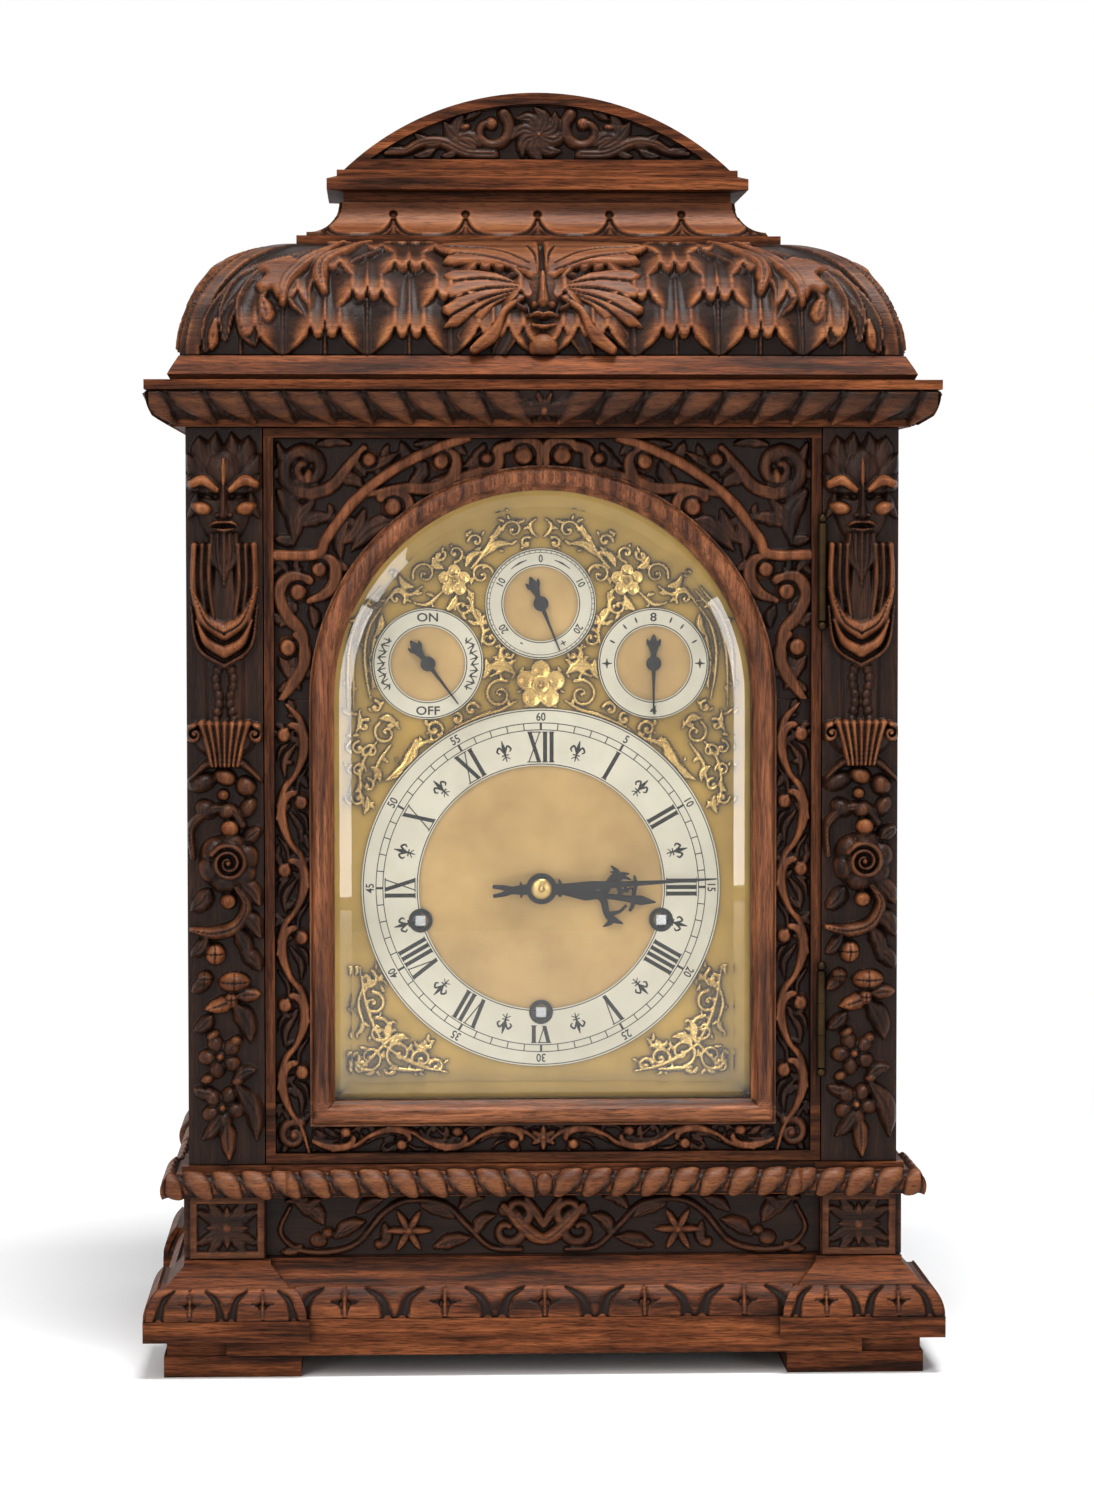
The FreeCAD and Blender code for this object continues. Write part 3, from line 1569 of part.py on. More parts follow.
def pin_drum():
    """The music barrel: a row of lifting pins for each hammer, on one arbor with its wheel."""
    pieces = [
        train_arbor(DRUM),
        rod(size.drum_radius, DRUM[0], drum_front, DRUM[1], great_y - drum_front),
        wheel(size.drum_teeth, size.great_module, DRUM, great_y, drum_phase),
    ]
    reach = size.drum_radius + size.drum_pin_length
    count = int(size.hammer_count.value)
    for index in range(count):
        turn = math.radians(PIN_START + PIN_SPAN * index / count)
        pin = add("Part::Cylinder", "pin")
        bind(pin, "Radius", size.drum_pin_radius)
        bind(pin, "Height", reach)
        direction = Vector(math.cos(turn), 0, math.sin(turn))
        lift = FreeCAD.Rotation(Vector(0, 0, 1), direction)
        pieces.append(place(pin, DRUM[0], hammer_y(index), DRUM[1], lift))
    return fuse(*pieces)


node("pin_drum", pin_drum())


def hammer(at, y, tail):
    """An upright arm with a short head on top and a tail towards the drum, free on its rod."""
    x, z = at
    thick = size.hammer_thickness
    wide = size.hammer_arm_width / 2
    boss = size.hammer_boss_radius
    y0 = y - thick / 2
    y1 = y + thick / 2
    head = size.hammer_head_length / 2
    top = z + size.hammer_arm_length
    pieces = [
        box(x - wide, x + wide, y0, y1, z, top),
        rod(boss, x, y0, z, thick),
        box(x - head, x + head, y0, y1, top - boss, top + boss),
    ]
    if tail:
        tail_half = size.hammer_tail_width / 2
        pieces.append(box(x - size.hammer_tail, x, y0, y1, z - tail_half, z + tail_half))
    fit = size.hammer_rod_radius + size.running_fit
    return cut(fuse(*pieces), rod(fit, x, y0 - OVERCUT, z, thick + OVERCUT * 2))


count = int(size.hammer_count.value)
node("chime_hammers", group(*[hammer(HAMMERS[0], hammer_y(i), True) for i in range(count)]))
hour_hammer_y = train_front + size.plate_spacing / 2
node("hour_hammer", hammer(HAMMERS[1], hour_hammer_y, False))

gongs = [rod(size.gong_radius, gong_x, hammer_y(i), z_gong, size.gong_length, "z") for i in range(count)]
gongs.append(rod(size.gong_radius, -gong_x, hour_hammer_y, z_gong, size.gong_length, "z"))
node("gong_rods", group(*gongs))
block_half = size.gong_block_width / 2
gong_block = box(gong_x - block_half, gong_x + block_half, train_front, train_back, z_body, z_gong)
node("gong_blocks", group(gong_block, mirror(gong_block, "x")))


# Build, test and write each sub-part


def write_parts():
    DOC.recompute()
    for thing in DOC.Objects:
        if "Invalid" in thing.State or "Error" in thing.State:
            raise RuntimeError("%s (%s) did not build" % (thing.Name, thing.Label))
    os.makedirs("parts", exist_ok=True)
    for name, thing in NODES.items():
        shape = thing.Shape
        if shape.isNull() or not shape.isValid() or not shape.Solids:
            raise RuntimeError("%s is not a valid solid" % name)
        shape.exportStep(os.path.join("parts", name + ".step"))


write_parts()
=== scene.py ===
import math

import bpy
import numpy as np
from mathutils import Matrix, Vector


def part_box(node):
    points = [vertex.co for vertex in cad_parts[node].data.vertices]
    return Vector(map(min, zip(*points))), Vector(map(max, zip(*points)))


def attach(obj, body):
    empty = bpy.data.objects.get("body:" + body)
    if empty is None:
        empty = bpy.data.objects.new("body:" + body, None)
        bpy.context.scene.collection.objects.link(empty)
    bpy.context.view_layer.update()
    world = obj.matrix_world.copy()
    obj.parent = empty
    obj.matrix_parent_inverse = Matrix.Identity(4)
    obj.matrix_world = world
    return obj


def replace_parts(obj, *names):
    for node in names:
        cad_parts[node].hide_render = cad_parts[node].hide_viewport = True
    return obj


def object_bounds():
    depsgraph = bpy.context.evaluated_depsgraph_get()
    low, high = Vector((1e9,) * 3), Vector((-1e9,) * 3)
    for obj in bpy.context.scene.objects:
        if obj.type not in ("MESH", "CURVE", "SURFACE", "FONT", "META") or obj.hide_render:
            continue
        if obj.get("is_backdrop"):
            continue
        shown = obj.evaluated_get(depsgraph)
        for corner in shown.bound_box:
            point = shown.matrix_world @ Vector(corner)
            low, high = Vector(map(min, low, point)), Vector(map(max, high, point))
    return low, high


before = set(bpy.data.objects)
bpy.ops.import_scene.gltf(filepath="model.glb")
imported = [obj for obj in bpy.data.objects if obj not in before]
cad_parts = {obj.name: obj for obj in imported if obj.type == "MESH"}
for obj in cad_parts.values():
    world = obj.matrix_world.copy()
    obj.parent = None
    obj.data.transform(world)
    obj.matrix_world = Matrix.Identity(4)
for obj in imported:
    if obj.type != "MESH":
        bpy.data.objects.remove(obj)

cad_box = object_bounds()
MM = 0.001
random = np.random.default_rng(11)


# Where the solids stand, in millimetres


def reach(node):
    """The lowest and highest corner of a solid."""
    return [np.array(corner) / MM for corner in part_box(node)]


door_low, door_high = reach("door_frame")
dome_low, dome_high = reach("dome")
Z_BODY = reach("surbase_board")[1][2]
Z_CORNICE, Z_MOULDING = (corner[2] for corner in reach("cornice"))
Z_DOME, Z_COVE = dome_low[2], dome_high[2]
Z_PEDIMENT, Z_TOP = (corner[2] for corner in reach("pediment"))
HALF_W, HALF_D = dome_high[0], dome_high[1]
FRONT = -HALF_D
PILASTER = 40.0
PILASTER_DEPTH = 30.0
PILASTER_X = HALF_W - PILASTER / 2
DIAL_FRONT = reach("dial_plate")[0][1]
Z_DIAL = sum(corner[2] for corner in reach("chapter_ring")) / 2
SIGHT = 110.0
BEAD = 13.0
Z_SILL = reach("door_bead")[0][2] + BEAD
Z_ARCH = reach("door_bead")[1][2] - SIGHT - BEAD
BORDER = 5.0
GROUND_Y = FRONT + 6.0
SMALL_RING = 29.5
SIDE_DIAL_X = 60.3
Z_TOP_DIAL = reach("subsidiary_rings")[1][2] - SMALL_RING
Z_SIDE_DIALS = reach("subsidiary_rings")[0][2] + SMALL_RING
SMALL_DIALS = {
    "top": (0, Z_TOP_DIAL),
    "left": (-SIDE_DIAL_X, Z_SIDE_DIALS),
    "right": (SIDE_DIAL_X, Z_SIDE_DIALS),
}
MARK_FRONT, MARK_BACK = DIAL_FRONT - 1.58, DIAL_FRONT - 1.45
CORNICE_WIDE = 20.5
SURBASE_WIDE, SURBASE_TALL = 8.5, 16.0
PLINTH_WIDE, PLINTH_TALL = 23.5, 40.0
Z_FRIEZE = Z_BODY - 50.0
COVE_R = 20.0
PEDIMENT_HALF, PEDIMENT_RIM = 105.0, 6.0
FINE_STEP, BAND_STEP = 0.6, 0.75
SHARP_EDGE = math.radians(35)


# Materials


# The mix node's sockets for colours
MIX_SHARE, MIX_FIRST, MIX_SECOND, MIX_RESULT = 0, 6, 7, 2


def feed(tree, socket, value):
    """Links a socket to another one, or sets it to a value."""
    if isinstance(value, bpy.types.NodeSocket):
        tree.links.new(value, socket)
    else:
        socket.default_value = value


def add_node(tree, kind, inputs=None, **settings):
    """A shader node with its settings, and with its inputs linked or set."""
    node = tree.nodes.new("ShaderNode" + kind)
    for name, value in settings.items():
        setattr(node, name, value)
    for key, value in (inputs or {}).items():
        feed(tree, node.inputs[key], value)
    return node


class Finish:
    """One node material, with short ways to add nodes to it."""

    def __init__(self, name):
        self.made = bpy.data.materials.new(name)
        self.made.use_nodes = True
        self.tree = self.made.node_tree
        self.shader = self.tree.nodes["Principled BSDF"]
        self.place = self.node("TexCoord").outputs["Object"]

    def node(self, kind, inputs=None, **settings):
        return add_node(self.tree, kind, inputs, **settings)

    def set(self, **values):
        """Links or sets inputs of the shader; underscores stand for the spaces in their names."""
        for name, value in values.items():
            feed(self.tree, self.shader.inputs[name.replace("_", " ")], value)

    def noise(self, stretch, detail, rough=0.55):
        """Noise whose grains are 1 / stretch metres long on each axis."""
        mapping = self.node("Mapping", {"Vector": self.place, "Scale": stretch})
        spread = {"Vector": mapping.outputs["Vector"], "Scale": 1.0, "Detail": detail, "Roughness": rough}
        return self.node("TexNoise", spread).outputs["Fac"]

    def ramp(self, source, stops):
        """Colours, or greys from single numbers, at places from 0 to 1."""
        node = self.node("ValToRGB", {"Fac": source})
        points = node.color_ramp.elements
        while len(points) < len(stops):
            points.new(1.0)
        for point, (place, colour) in zip(points, stops):
            point.position = place
            point.color = (*colour, 1.0) if isinstance(colour, tuple) else (colour, colour, colour, 1.0)
        return node.outputs["Color"]

    def mix(self, share, first, second, way="MIX"):
        """Two colours, or two places, mixed by a share."""
        inputs = {MIX_SHARE: share, MIX_FIRST: first, MIX_SECOND: second}
        return self.node("Mix", inputs, data_type="RGBA", blend_type=way).outputs[MIX_RESULT]

    def math(self, operation, first, second=0.5):
        """A number worked out from a socket, and from a second socket or a number where it takes two."""
        return self.node("Math", {0: first, 1: second}, operation=operation).outputs[0]

    def bump(self, source, strength, depth):
        """Adds fine height, in metres, on top of any bump already there."""
        node = self.node("Bump", {"Strength": strength, "Distance": depth, "Height": source})
        normal = self.shader.inputs["Normal"]
        if normal.is_linked:
            feed(self.tree, node.inputs["Normal"], normal.links[0].from_socket)
        feed(self.tree, normal, node.outputs["Normal"])

    def rough(self, source, low, high):
        self.set(Roughness=self.ramp(source, [(0.25, low), (0.75, high)]))

    def cavity(self, distance):
        """How open the surface is, from 0 in a crevice to 1 in the open."""
        return self.node("AmbientOcclusion", {"Distance": distance}, samples=6).outputs["AO"]

    def attribute(self, name):
        return self.node("Attribute", attribute_name=name).outputs["Fac"]

    def split(self, vector):
        return self.node("SeparateXYZ", {0: vector}).outputs

    def turn_grain(self, where, order):
        """Reads the place with its axes in another order wherever the mask is 1."""
        axes = self.split(self.place)
        turned = self.node("CombineXYZ", {socket: axes[axis] for socket, axis in zip("XYZ", order)})
        self.place = self.mix(where, self.place, turned.outputs[0])

    def across_corners(self):
        """Turns the grain along Y on faces that look along X, as mitred mouldings have it."""
        sideways = self.math("ABSOLUTE", self.split(self.node("NewGeometry").outputs["Normal"])["X"])
        self.turn_grain(self.math("GREATER_THAN", sideways, 0.6), "YXZ")

    def across_rails(self):
        """Turns the grain along X in the door's rails, above and below its window."""
        height = self.split(self.place)["Z"]
        above = self.math("GREATER_THAN", height, float(door_high[2] - BORDER) * MM)
        below = self.math("LESS_THAN", height, float(Z_SILL) * MM)
        self.turn_grain(self.math("MAXIMUM", above, below), "ZYX")


# The near black that painted shade darkens the oak towards; it stands also for the black patina in old
# oak's hollows.
SHADE_AND_PATINA_BLACK = (0.0085, 0.0042, 0.0030)
DEEP_OAK = (0.024, 0.0090, 0.0048)
RED_OAK = (0.105, 0.0300, 0.0110)
WARM_OAK = (0.205, 0.064, 0.0225)
WORN_AND_LIT_OAK = (0.315, 0.116, 0.041)
GRAIN_X = (9.0, 150.0, 150.0)
GRAIN_Z = (150.0, 150.0, 9.0)
FINE_SCRATCHES = (900.0, 900.0, 900.0)


def oak(name, grain, tones, wear_and_highlight_tones=None, turned=None, ground=0.0, gloss=0.0, sheen=0.1):
    """Old stained oak, darkened towards near black in crevices and low ground by painted shade, and paler
    where it stands out, by rubbing and painted highlight, if it has those tones.
    """
    finish = Finish(name)
    if turned:
        turned(finish)
    figure = finish.noise(grain, 6.0, 0.6)
    streaks = finish.noise(tuple(part * 5.0 for part in grain), 4.0, 0.6)
    pores = finish.noise(tuple(part * 14.0 for part in grain), 2.0, 0.5)
    fine = finish.ramp(pores, [(0.38, 0.2), (0.47, 1.0)])
    wood = finish.ramp(figure, list(zip((0.36, 0.50, 0.66), tones)))
    wood = finish.mix(0.65, wood, finish.ramp(streaks, [(0.38, 0.2), (0.60, 1.0)]), "MULTIPLY")
    wood = finish.mix(0.7, wood, fine, "MULTIPLY")
    # Painted shade: the ambient occlusion node darkens crevices and the joints between pieces.
    shade = finish.ramp(finish.cavity(0.008), [(0.25, 0.0), (0.85, 1.0)])
    # Paler tones where the carving stands out: partly rubbed wood, partly painted highlight.
    if wear_and_highlight_tones:
        wear_and_highlight_wood = finish.ramp(figure, list(zip((0.32, 0.49, 0.67), wear_and_highlight_tones)))
        wear_and_highlight_wood = finish.mix(0.6, wear_and_highlight_wood, fine, "MULTIPLY")
        wear_and_highlight_share = finish.ramp(finish.attribute("worn"), [(0.15, 0.0), (0.90, 1.0)])
        wood = finish.mix(wear_and_highlight_share, wood, wear_and_highlight_wood)
        # Painted shade in the carving's hollows and low ground, from the depth mark; ground is how much of
        # the wood's colour the lowest ground keeps.
        deep = finish.ramp(finish.attribute("depth"), [(0.12, ground), (0.75, 1.0)])
        shade = finish.mix(1.0, shade, deep, "MULTIPLY")
    finish.set(Base_Color=finish.mix(shade, SHADE_AND_PATINA_BLACK + (1.0,), wood), Specular_IOR_Level=sheen)
    finish.rough(streaks, 0.38 - gloss, 0.60 - gloss)
    finish.bump(streaks, 0.35, 0.0004)
    finish.bump(pores, 0.5, 0.0003)
    return finish.made


def metal(
    name, dark, pale, low, high, grain=FINE_SCRATCHES, metallic=1.0, depth=0.0001, corner_shade=0.5, sheen=0.5
):
    """Metal between two tones and two roughnesses, with drifts of tarnish, scratches, and painted shade in
    its corners and crevices.
    """
    finish = Finish(name)
    drift = finish.noise((28.0, 28.0, 28.0), 5.0)
    scratches = finish.noise(grain, 3.0)
    tone = finish.ramp(drift, [(0.3, dark), (0.7, pale)])
    # Painted shade: the ambient occlusion node darkens corners, crevices and joints.
    openness = finish.ramp(finish.cavity(0.004), [(0.35, 1.0 - corner_shade), (0.95, 1.0)])
    colour = finish.mix(1.0, tone, openness, "MULTIPLY")
    finish.set(Base_Color=colour, Metallic=metallic, Specular_IOR_Level=sheen)
    finish.rough(scratches, low, high)
    finish.bump(scratches, 0.4, depth)
    return finish.made


PLAIN_TONES = (DEEP_OAK, RED_OAK, WARM_OAK)
POST_TONES = ((0.018, 0.0072, 0.0042), (0.062, 0.020, 0.0085), (0.135, 0.045, 0.017))
BEAD_TONES = ((0.052, 0.0165, 0.0070), (0.150, 0.049, 0.0195), (0.280, 0.100, 0.040))
DARK_TONES = ((0.011, 0.0050, 0.0034), (0.028, 0.0108, 0.0056), (0.055, 0.0195, 0.0088))
CARVED_TONES = ((0.012, 0.0052, 0.0034), (0.036, 0.0130, 0.0062), (0.075, 0.026, 0.0110))
# Paler oak for rubbed high points, which also paints their highlights.
LOW_WORN_AND_LIT = ((0.050, 0.0165, 0.0072), (0.115, 0.037, 0.0145), (0.200, 0.069, 0.0260))
HIGH_WORN_AND_LIT = (RED_OAK, WARM_OAK, WORN_AND_LIT_OAK)
MID_WORN_AND_LIT = ((0.080, 0.0240, 0.0095), (0.155, 0.0495, 0.0180), (0.245, 0.0920, 0.0330))
OAK_RAIL = oak("oak_rails", GRAIN_X, PLAIN_TONES, turned=Finish.across_corners, sheen=0.05)
OAK_POST = oak("oak_posts", GRAIN_Z, POST_TONES, turned=Finish.across_rails, sheen=0.05)
OAK_BOARD = oak("oak_boards", GRAIN_Z, POST_TONES, sheen=0.05)
OAK_BEAD = oak("oak_bead", GRAIN_Z, BEAD_TONES, turned=Finish.across_rails, gloss=0.08, sheen=0.15)
OAK_OVOLO = oak("oak_ovolo", GRAIN_X, PLAIN_TONES, HIGH_WORN_AND_LIT, Finish.across_corners, gloss=0.05, sheen=0.08)
OAK_CARVED = oak("oak_carved", GRAIN_X, CARVED_TONES, MID_WORN_AND_LIT, Finish.across_corners, gloss=0.12)
# Darker carved oak; on the cornice's lobes its darkness also paints the shade under the cornice's overhang.
OAK_DARK = oak(
    "oak_dark_carved", GRAIN_X, DARK_TONES, LOW_WORN_AND_LIT, Finish.across_corners, ground=0.35, gloss=0.12
)
OAK_CARVED_UP = oak("oak_carved_upright", GRAIN_Z, CARVED_TONES, LOW_WORN_AND_LIT, ground=0.1, gloss=0.10)
PILASTER_OAK = oak("oak_pilaster", GRAIN_Z, DARK_TONES, MID_WORN_AND_LIT, ground=0.55, gloss=0.12)
BRASS = metal("brass", (0.42, 0.26, 0.085), (0.66, 0.45, 0.17), 0.26, 0.46)
SATIN_BRASS = metal("satin_brass", (0.31, 0.184, 0.030), (0.46, 0.278, 0.054), 0.32, 0.46, corner_shade=0.9)
MATT_BRASS = metal(
    "matted_brass", (0.42, 0.255, 0.082), (0.63, 0.400, 0.152), 0.5, 0.66, metallic=0.4, depth=0.0003
)
GILT = metal("gilt_brass", (0.34, 0.195, 0.045), (0.74, 0.49, 0.165), 0.22, 0.36, metallic=0.8, corner_shade=1.0)
DARK_BRASS = metal("dark_brass", (0.014, 0.009, 0.005), (0.05, 0.030, 0.013), 0.4, 0.55)
SILVERED = metal(
    "silvered_brass", (0.58, 0.53, 0.42), (0.72, 0.665, 0.545), 0.42, 0.56,
    metallic=0.25, depth=0.00005, corner_shade=0.3,
)
BLUED = metal(
    "blued_steel", (0.006, 0.006, 0.007), (0.014, 0.014, 0.016), 0.34, 0.5, metallic=0.3, sheen=0.1
)
STEEL = metal("steel", (0.42, 0.42, 0.43), (0.66, 0.66, 0.67), 0.22, 0.38, (200.0, 200.0, 2000.0))
# Black wax for the dial's marks; also the black of the rings that paint the shade inside the winding holes.
INK = metal(
    "black_wax", (0.006, 0.006, 0.006), (0.014, 0.013, 0.012), 0.4, 0.6,
    metallic=0.0, depth=0.00003, corner_shade=0.0, sheen=0.1,
)


def clear_glass():
    finish = Finish("glass")
    finish.set(Base_Color=(0.98, 0.99, 0.97, 1.0), Transmission_Weight=1.0, IOR=1.5, Specular_IOR_Level=0.3)
    finish.rough(finish.noise((30.0, 30.0, 30.0), 3.0), 0.0, 0.02)
    finish.bump(finish.noise((6.0, 6.0, 6.0), 2.0), 0.05, 0.0002)
    return finish.made


GLASS = clear_glass()


# Carving: heights over a grid, laid on a face of the case


def smooth_line(points, widths, spacing):
    """Points on a curve through the given ones, and a half width at each."""
    knots = np.asarray(points, float)
    ends = np.vstack([2 * knots[0] - knots[1], knots, 2 * knots[-1] - knots[-2]])
    pieces, places = [], []
    for index in range(len(knots) - 1):
        a, b, c, d = ends[index : index + 4]
        count = max(2, int(np.hypot(*(c - b)) / spacing))
        t = np.linspace(0, 1, count, endpoint=False)[:, None]
        curve = 2 * b + (c - a) * t + (2 * a - 5 * b + 4 * c - d) * t**2 + (3 * b - a - 3 * c + d) * t**3
        pieces.append(curve / 2)
        places.append((index + t[:, 0]) / (len(knots) - 1))
    pieces.append(knots[-1:])
    places.append(np.ones(1))
    place = np.concatenate(places)
    return np.vstack(pieces), np.maximum(np.interp(place, np.linspace(0, 1, len(widths)), widths), 0.25)


def dome_shape(r):
    return np.sqrt(np.clip(1 - r * r, 0, 1))


def leaf_shape(r):
    """Two swelling halves with a vein between them."""
    return dome_shape(r) * (1 - 0.22 * np.exp(-((r / 0.13) ** 2)))


def dish_shape(r):
    """A hollowed blade with a raised edge."""
    return np.clip((1 - r) / 0.12, 0, 1) * (0.5 + 0.5 * r * r)


def flat_shape(r):
    return np.clip((1 - r) / 0.25, 0, 1)


def cushion_shape(r):
    """Flat over the middle, rounded at the edge."""
    return np.sqrt(np.clip(1 - r**4, 0, 1))


def worn_at(worn, r):
    """One share of the pale tone, for rubbing and painted highlight, all over, or from a pair: in the
    middle and at the edge.
    """
    if isinstance(worn, tuple):
        return worn[0] + (worn[1] - worn[0]) * np.clip(r, 0, 1) ** 2
    return worn


def blurred(grid, reach_cells):
    for axis in (0, 1):
        pads = [(0, 0), (0, 0)]
        pads[axis] = (reach_cells + 1, reach_cells)
        total = np.cumsum(np.pad(grid, pads, mode="edge"), axis=axis)
        span = 2 * reach_cells + 1
        size = total.shape[axis]
        grid = (np.take(total, range(span, size), axis) - np.take(total, range(size - span), axis)) / span
    return grid


# A squared distance beyond any stroke, a height below any ground, and the whole of a grid
FAR = 9.0
UNDER = -9.0
WHOLE = (slice(None), slice(None))


def spoke(centre, radius, degrees):
    """A point at a radius from a centre, anticlockwise from the right."""
    way = math.radians(degrees)
    return centre[0] + radius * math.cos(way), centre[1] + radius * math.sin(way)


def moved(points, origin):
    return [(a + origin[0], b + origin[1]) for a, b in points]


class Relief:
    """Carving over a rectangle: u runs across and v runs up, in millimetres."""

    def __init__(self, u_low, u_high, v_low, v_high, step, both=False, rough=0.12):
        self.u_line = np.linspace(u_low, u_high, int(round((u_high - u_low) / step)) + 1)
        self.v_line = np.linspace(v_low, v_high, int(round((v_high - v_low) / step)) + 1)
        self.u, self.v = np.meshgrid(self.u_line, self.v_line)
        self.height = blurred(random.random(self.u.shape), 1) * rough
        self.worn = np.zeros_like(self.u)
        self.step = step
        self.both = both

    def window(self, low, high):
        """The part of the grid between two corners."""
        across = slice(*np.searchsorted(self.u_line, (low[0], high[0])))
        up = slice(*np.searchsorted(self.v_line, (low[1], high[1])))
        return up, across

    def lift(self, area, height, worn):
        """Keeps the higher of what is there and what is added."""
        higher = height > self.height[area]
        self.height[area] = np.where(higher, height, self.height[area])
        self.worn[area] = np.where(higher, worn, self.worn[area])

    def sides(self, points):
        """The points, and their mirror image where both sides are carved alike."""
        yield np.asarray(points, float)
        if self.both:
            yield np.asarray(points, float) * (-1, 1)

    def along(self, points, widths):
        """The grid near a smooth line, and its distance from it in half widths, squared."""
        for line in self.sides(points):
            path, half = smooth_line(line, widths, self.step * 1.3)
            area = self.window(path.min(0) - half.max(), path.max(0) + half.max())
            u, v = self.u[area], self.v[area]
            near = np.full(u.shape, FAR)
            for (at_u, at_v), limit in zip(path, half):
                near = np.minimum(near, ((u - at_u) ** 2 + (v - at_v) ** 2) / limit**2)
            yield area, near

    def stroke(self, points, widths, top, worn, shape=dome_shape):
        """A band along a smooth line, with half widths spread along it."""
        for area, near in self.along(points, widths):
            r = np.sqrt(near)
            self.lift(area, np.where(r < 1, top * shape(r), UNDER), worn_at(worn, r))

    def gouge(self, points, widths, deep):
        """Cuts a soft groove along a line."""
        for area, near in self.along(points, widths):
            self.height[area] -= deep * np.clip(1 - near, 0, 1)
            # The groove loses its pale tone of rubbing and painted highlight.
            self.worn[area] *= np.clip(near, 0, 1)

    def patch(self, outline, top, edge, worn):
        """A flat-topped leaf with rounded edges, from the points round it."""
        for loop in self.sides(outline):
            area = self.window(loop.min(0), loop.max(0))
            u, v = self.u[area], self.v[area]
            inside = np.zeros(u.shape, bool)
            near = np.full(u.shape, edge)
            for here, there in zip(loop, np.roll(loop, -1, 0)):
                run = there - here
                share = np.clip(((u - here[0]) * run[0] + (v - here[1]) * run[1]) / (run @ run), 0, 1)
                near = np.minimum(
                    near, np.hypot(u - here[0] - share * run[0], v - here[1] - share * run[1])
                )
                slope = run[0] / run[1] if run[1] else 0.0
                inside ^= ((here[1] > v) != (there[1] > v)) & (u < here[0] + (v - here[1]) * slope)
            r = 1 - near / edge
            self.lift(area, np.where(inside, top * np.sqrt(1 - r * r), UNDER), worn)

    def bump(self, u, v, half_u, half_v, top, turn=0.0, worn=0.5, shape=dome_shape):
        """A round or long swelling, turned anticlockwise by degrees."""
        wide = max(half_u, half_v)
        cosine, sine = math.cos(math.radians(turn)), math.sin(math.radians(turn))
        for sign in (1, -1) if self.both and abs(u) > 0.01 else (1,):
            area = self.window((u * sign - wide, v - wide), (u * sign + wide, v + wide))
            du, dv = (self.u[area] - u * sign) * sign, self.v[area] - v
            r = np.hypot((du * cosine + dv * sine) / half_u, (dv * cosine - du * sine) / half_v)
            self.lift(area, np.where(r < 1, top * shape(r), UNDER), worn_at(worn, r))

    def leaf(self, start, end, half, top, bend, worn, shape=leaf_shape):
        """A pointed leaf from its stalk to its tip, bowed to the left by a share of its length."""
        start, end = np.asarray(start, float), np.asarray(end, float)
        run = end - start
        middle = (start + end) / 2 + np.array((-run[1], run[0])) * bend
        self.stroke([start, middle, end], [half * 0.35, half, half * 0.8, 0.3], top, worn, shape)

    def leaves(self, rows, top, worn, origin=(0, 0)):
        """Leaves from rows of stalk, tip, half width and bend."""
        for start, end, half, bend in rows:
            self.leaf(*moved((start, end), origin), half, top, bend, worn)

    def scroll(self, centre, radius, turns, start, way, half, top, worn, eye=0.0):
        """A spiral from its outer end, at an angle in degrees, into its eye."""
        t = np.linspace(0, 1, int(10 * turns) + 2)
        angle = math.radians(start) + way * turns * 2 * math.pi * t
        away = radius * (1 - 0.8 * t)
        points = np.stack([centre[0] + away * np.cos(angle), centre[1] + away * np.sin(angle)], -1)
        self.stroke(points, [half, half * 0.8, half * 0.55], top, worn)
        if eye:
            self.bump(*centre, eye, eye, top * 1.1, worn=0.8)

    def flower(self, centre, radius, petals, top, start, half=None, worn=0.25, eye=0.25, bend=0.0):
        """Pointed petals about a round eye."""
        for index in range(petals):
            tip = spoke(centre, radius, start + index * 360 / petals)
            self.leaf(centre, tip, half or radius * 1.9 / petals, top, bend, worn)
        self.bump(*centre, radius * eye, radius * eye, top * 1.25, worn=0.75)

    def rosette(self, centre, radius, petals, top, start):
        """Round hollowed petals about a ringed eye."""
        for index in range(petals):
            at = spoke(centre, 0.6 * radius, start + index * 360 / petals)
            self.bump(*at, radius * 0.42, radius * 0.42, top, worn=0.9, shape=dish_shape)
        self.bump(*centre, radius * 0.38, radius * 0.38, top * 1.15, worn=0.9, shape=dish_shape)
        self.bump(*centre, radius * 0.16, radius * 0.16, top * 1.35, worn=0.9)

    def knop(self, centre, size, groove):
        """A round boss inside a cut ring."""
        self.gouge([spoke(centre, groove, 30 * index) for index in range(13)], [0.9], 2.4)
        self.bump(*centre, size, size, 5.6, worn=0.6, shape=cushion_shape)

    def fill(self, tries, length, top, worn, where=None):
        """Grows small leaves out of the forms into the bare ground between them."""
        ground = 0.6
        cells = max(3, int(length * 0.5 / self.step))
        for _ in range(tries):
            row, column = random.integers(self.u.shape[0]), random.integers(self.u.shape[1])
            if self.height[row, column] > ground or (where is not None and not where[row, column]):
                continue
            low_row, low_column = max(0, row - cells), max(0, column - cells)
            nearby = self.height[low_row : row + cells, low_column : column + cells] > ground
            rows, columns = np.nonzero(nearby)
            if len(rows) == 0:
                continue
            away = np.array((column - low_column - columns.mean(), row - low_row - rows.mean()))
            turn = math.atan2(away[1], away[0]) + random.uniform(-0.8, 0.8)
            size = length * random.uniform(0.7, 1.15)
            way = np.array((math.cos(turn), math.sin(turn))) * size
            spot = np.array((self.u[row, column], self.v[row, column]))
            bend = random.uniform(-0.2, 0.2)
            tall = top * random.uniform(0.8, 1.1)
            self.leaf(spot - way * 0.6, spot + way * 0.4, size * 0.34, tall, bend, worn)

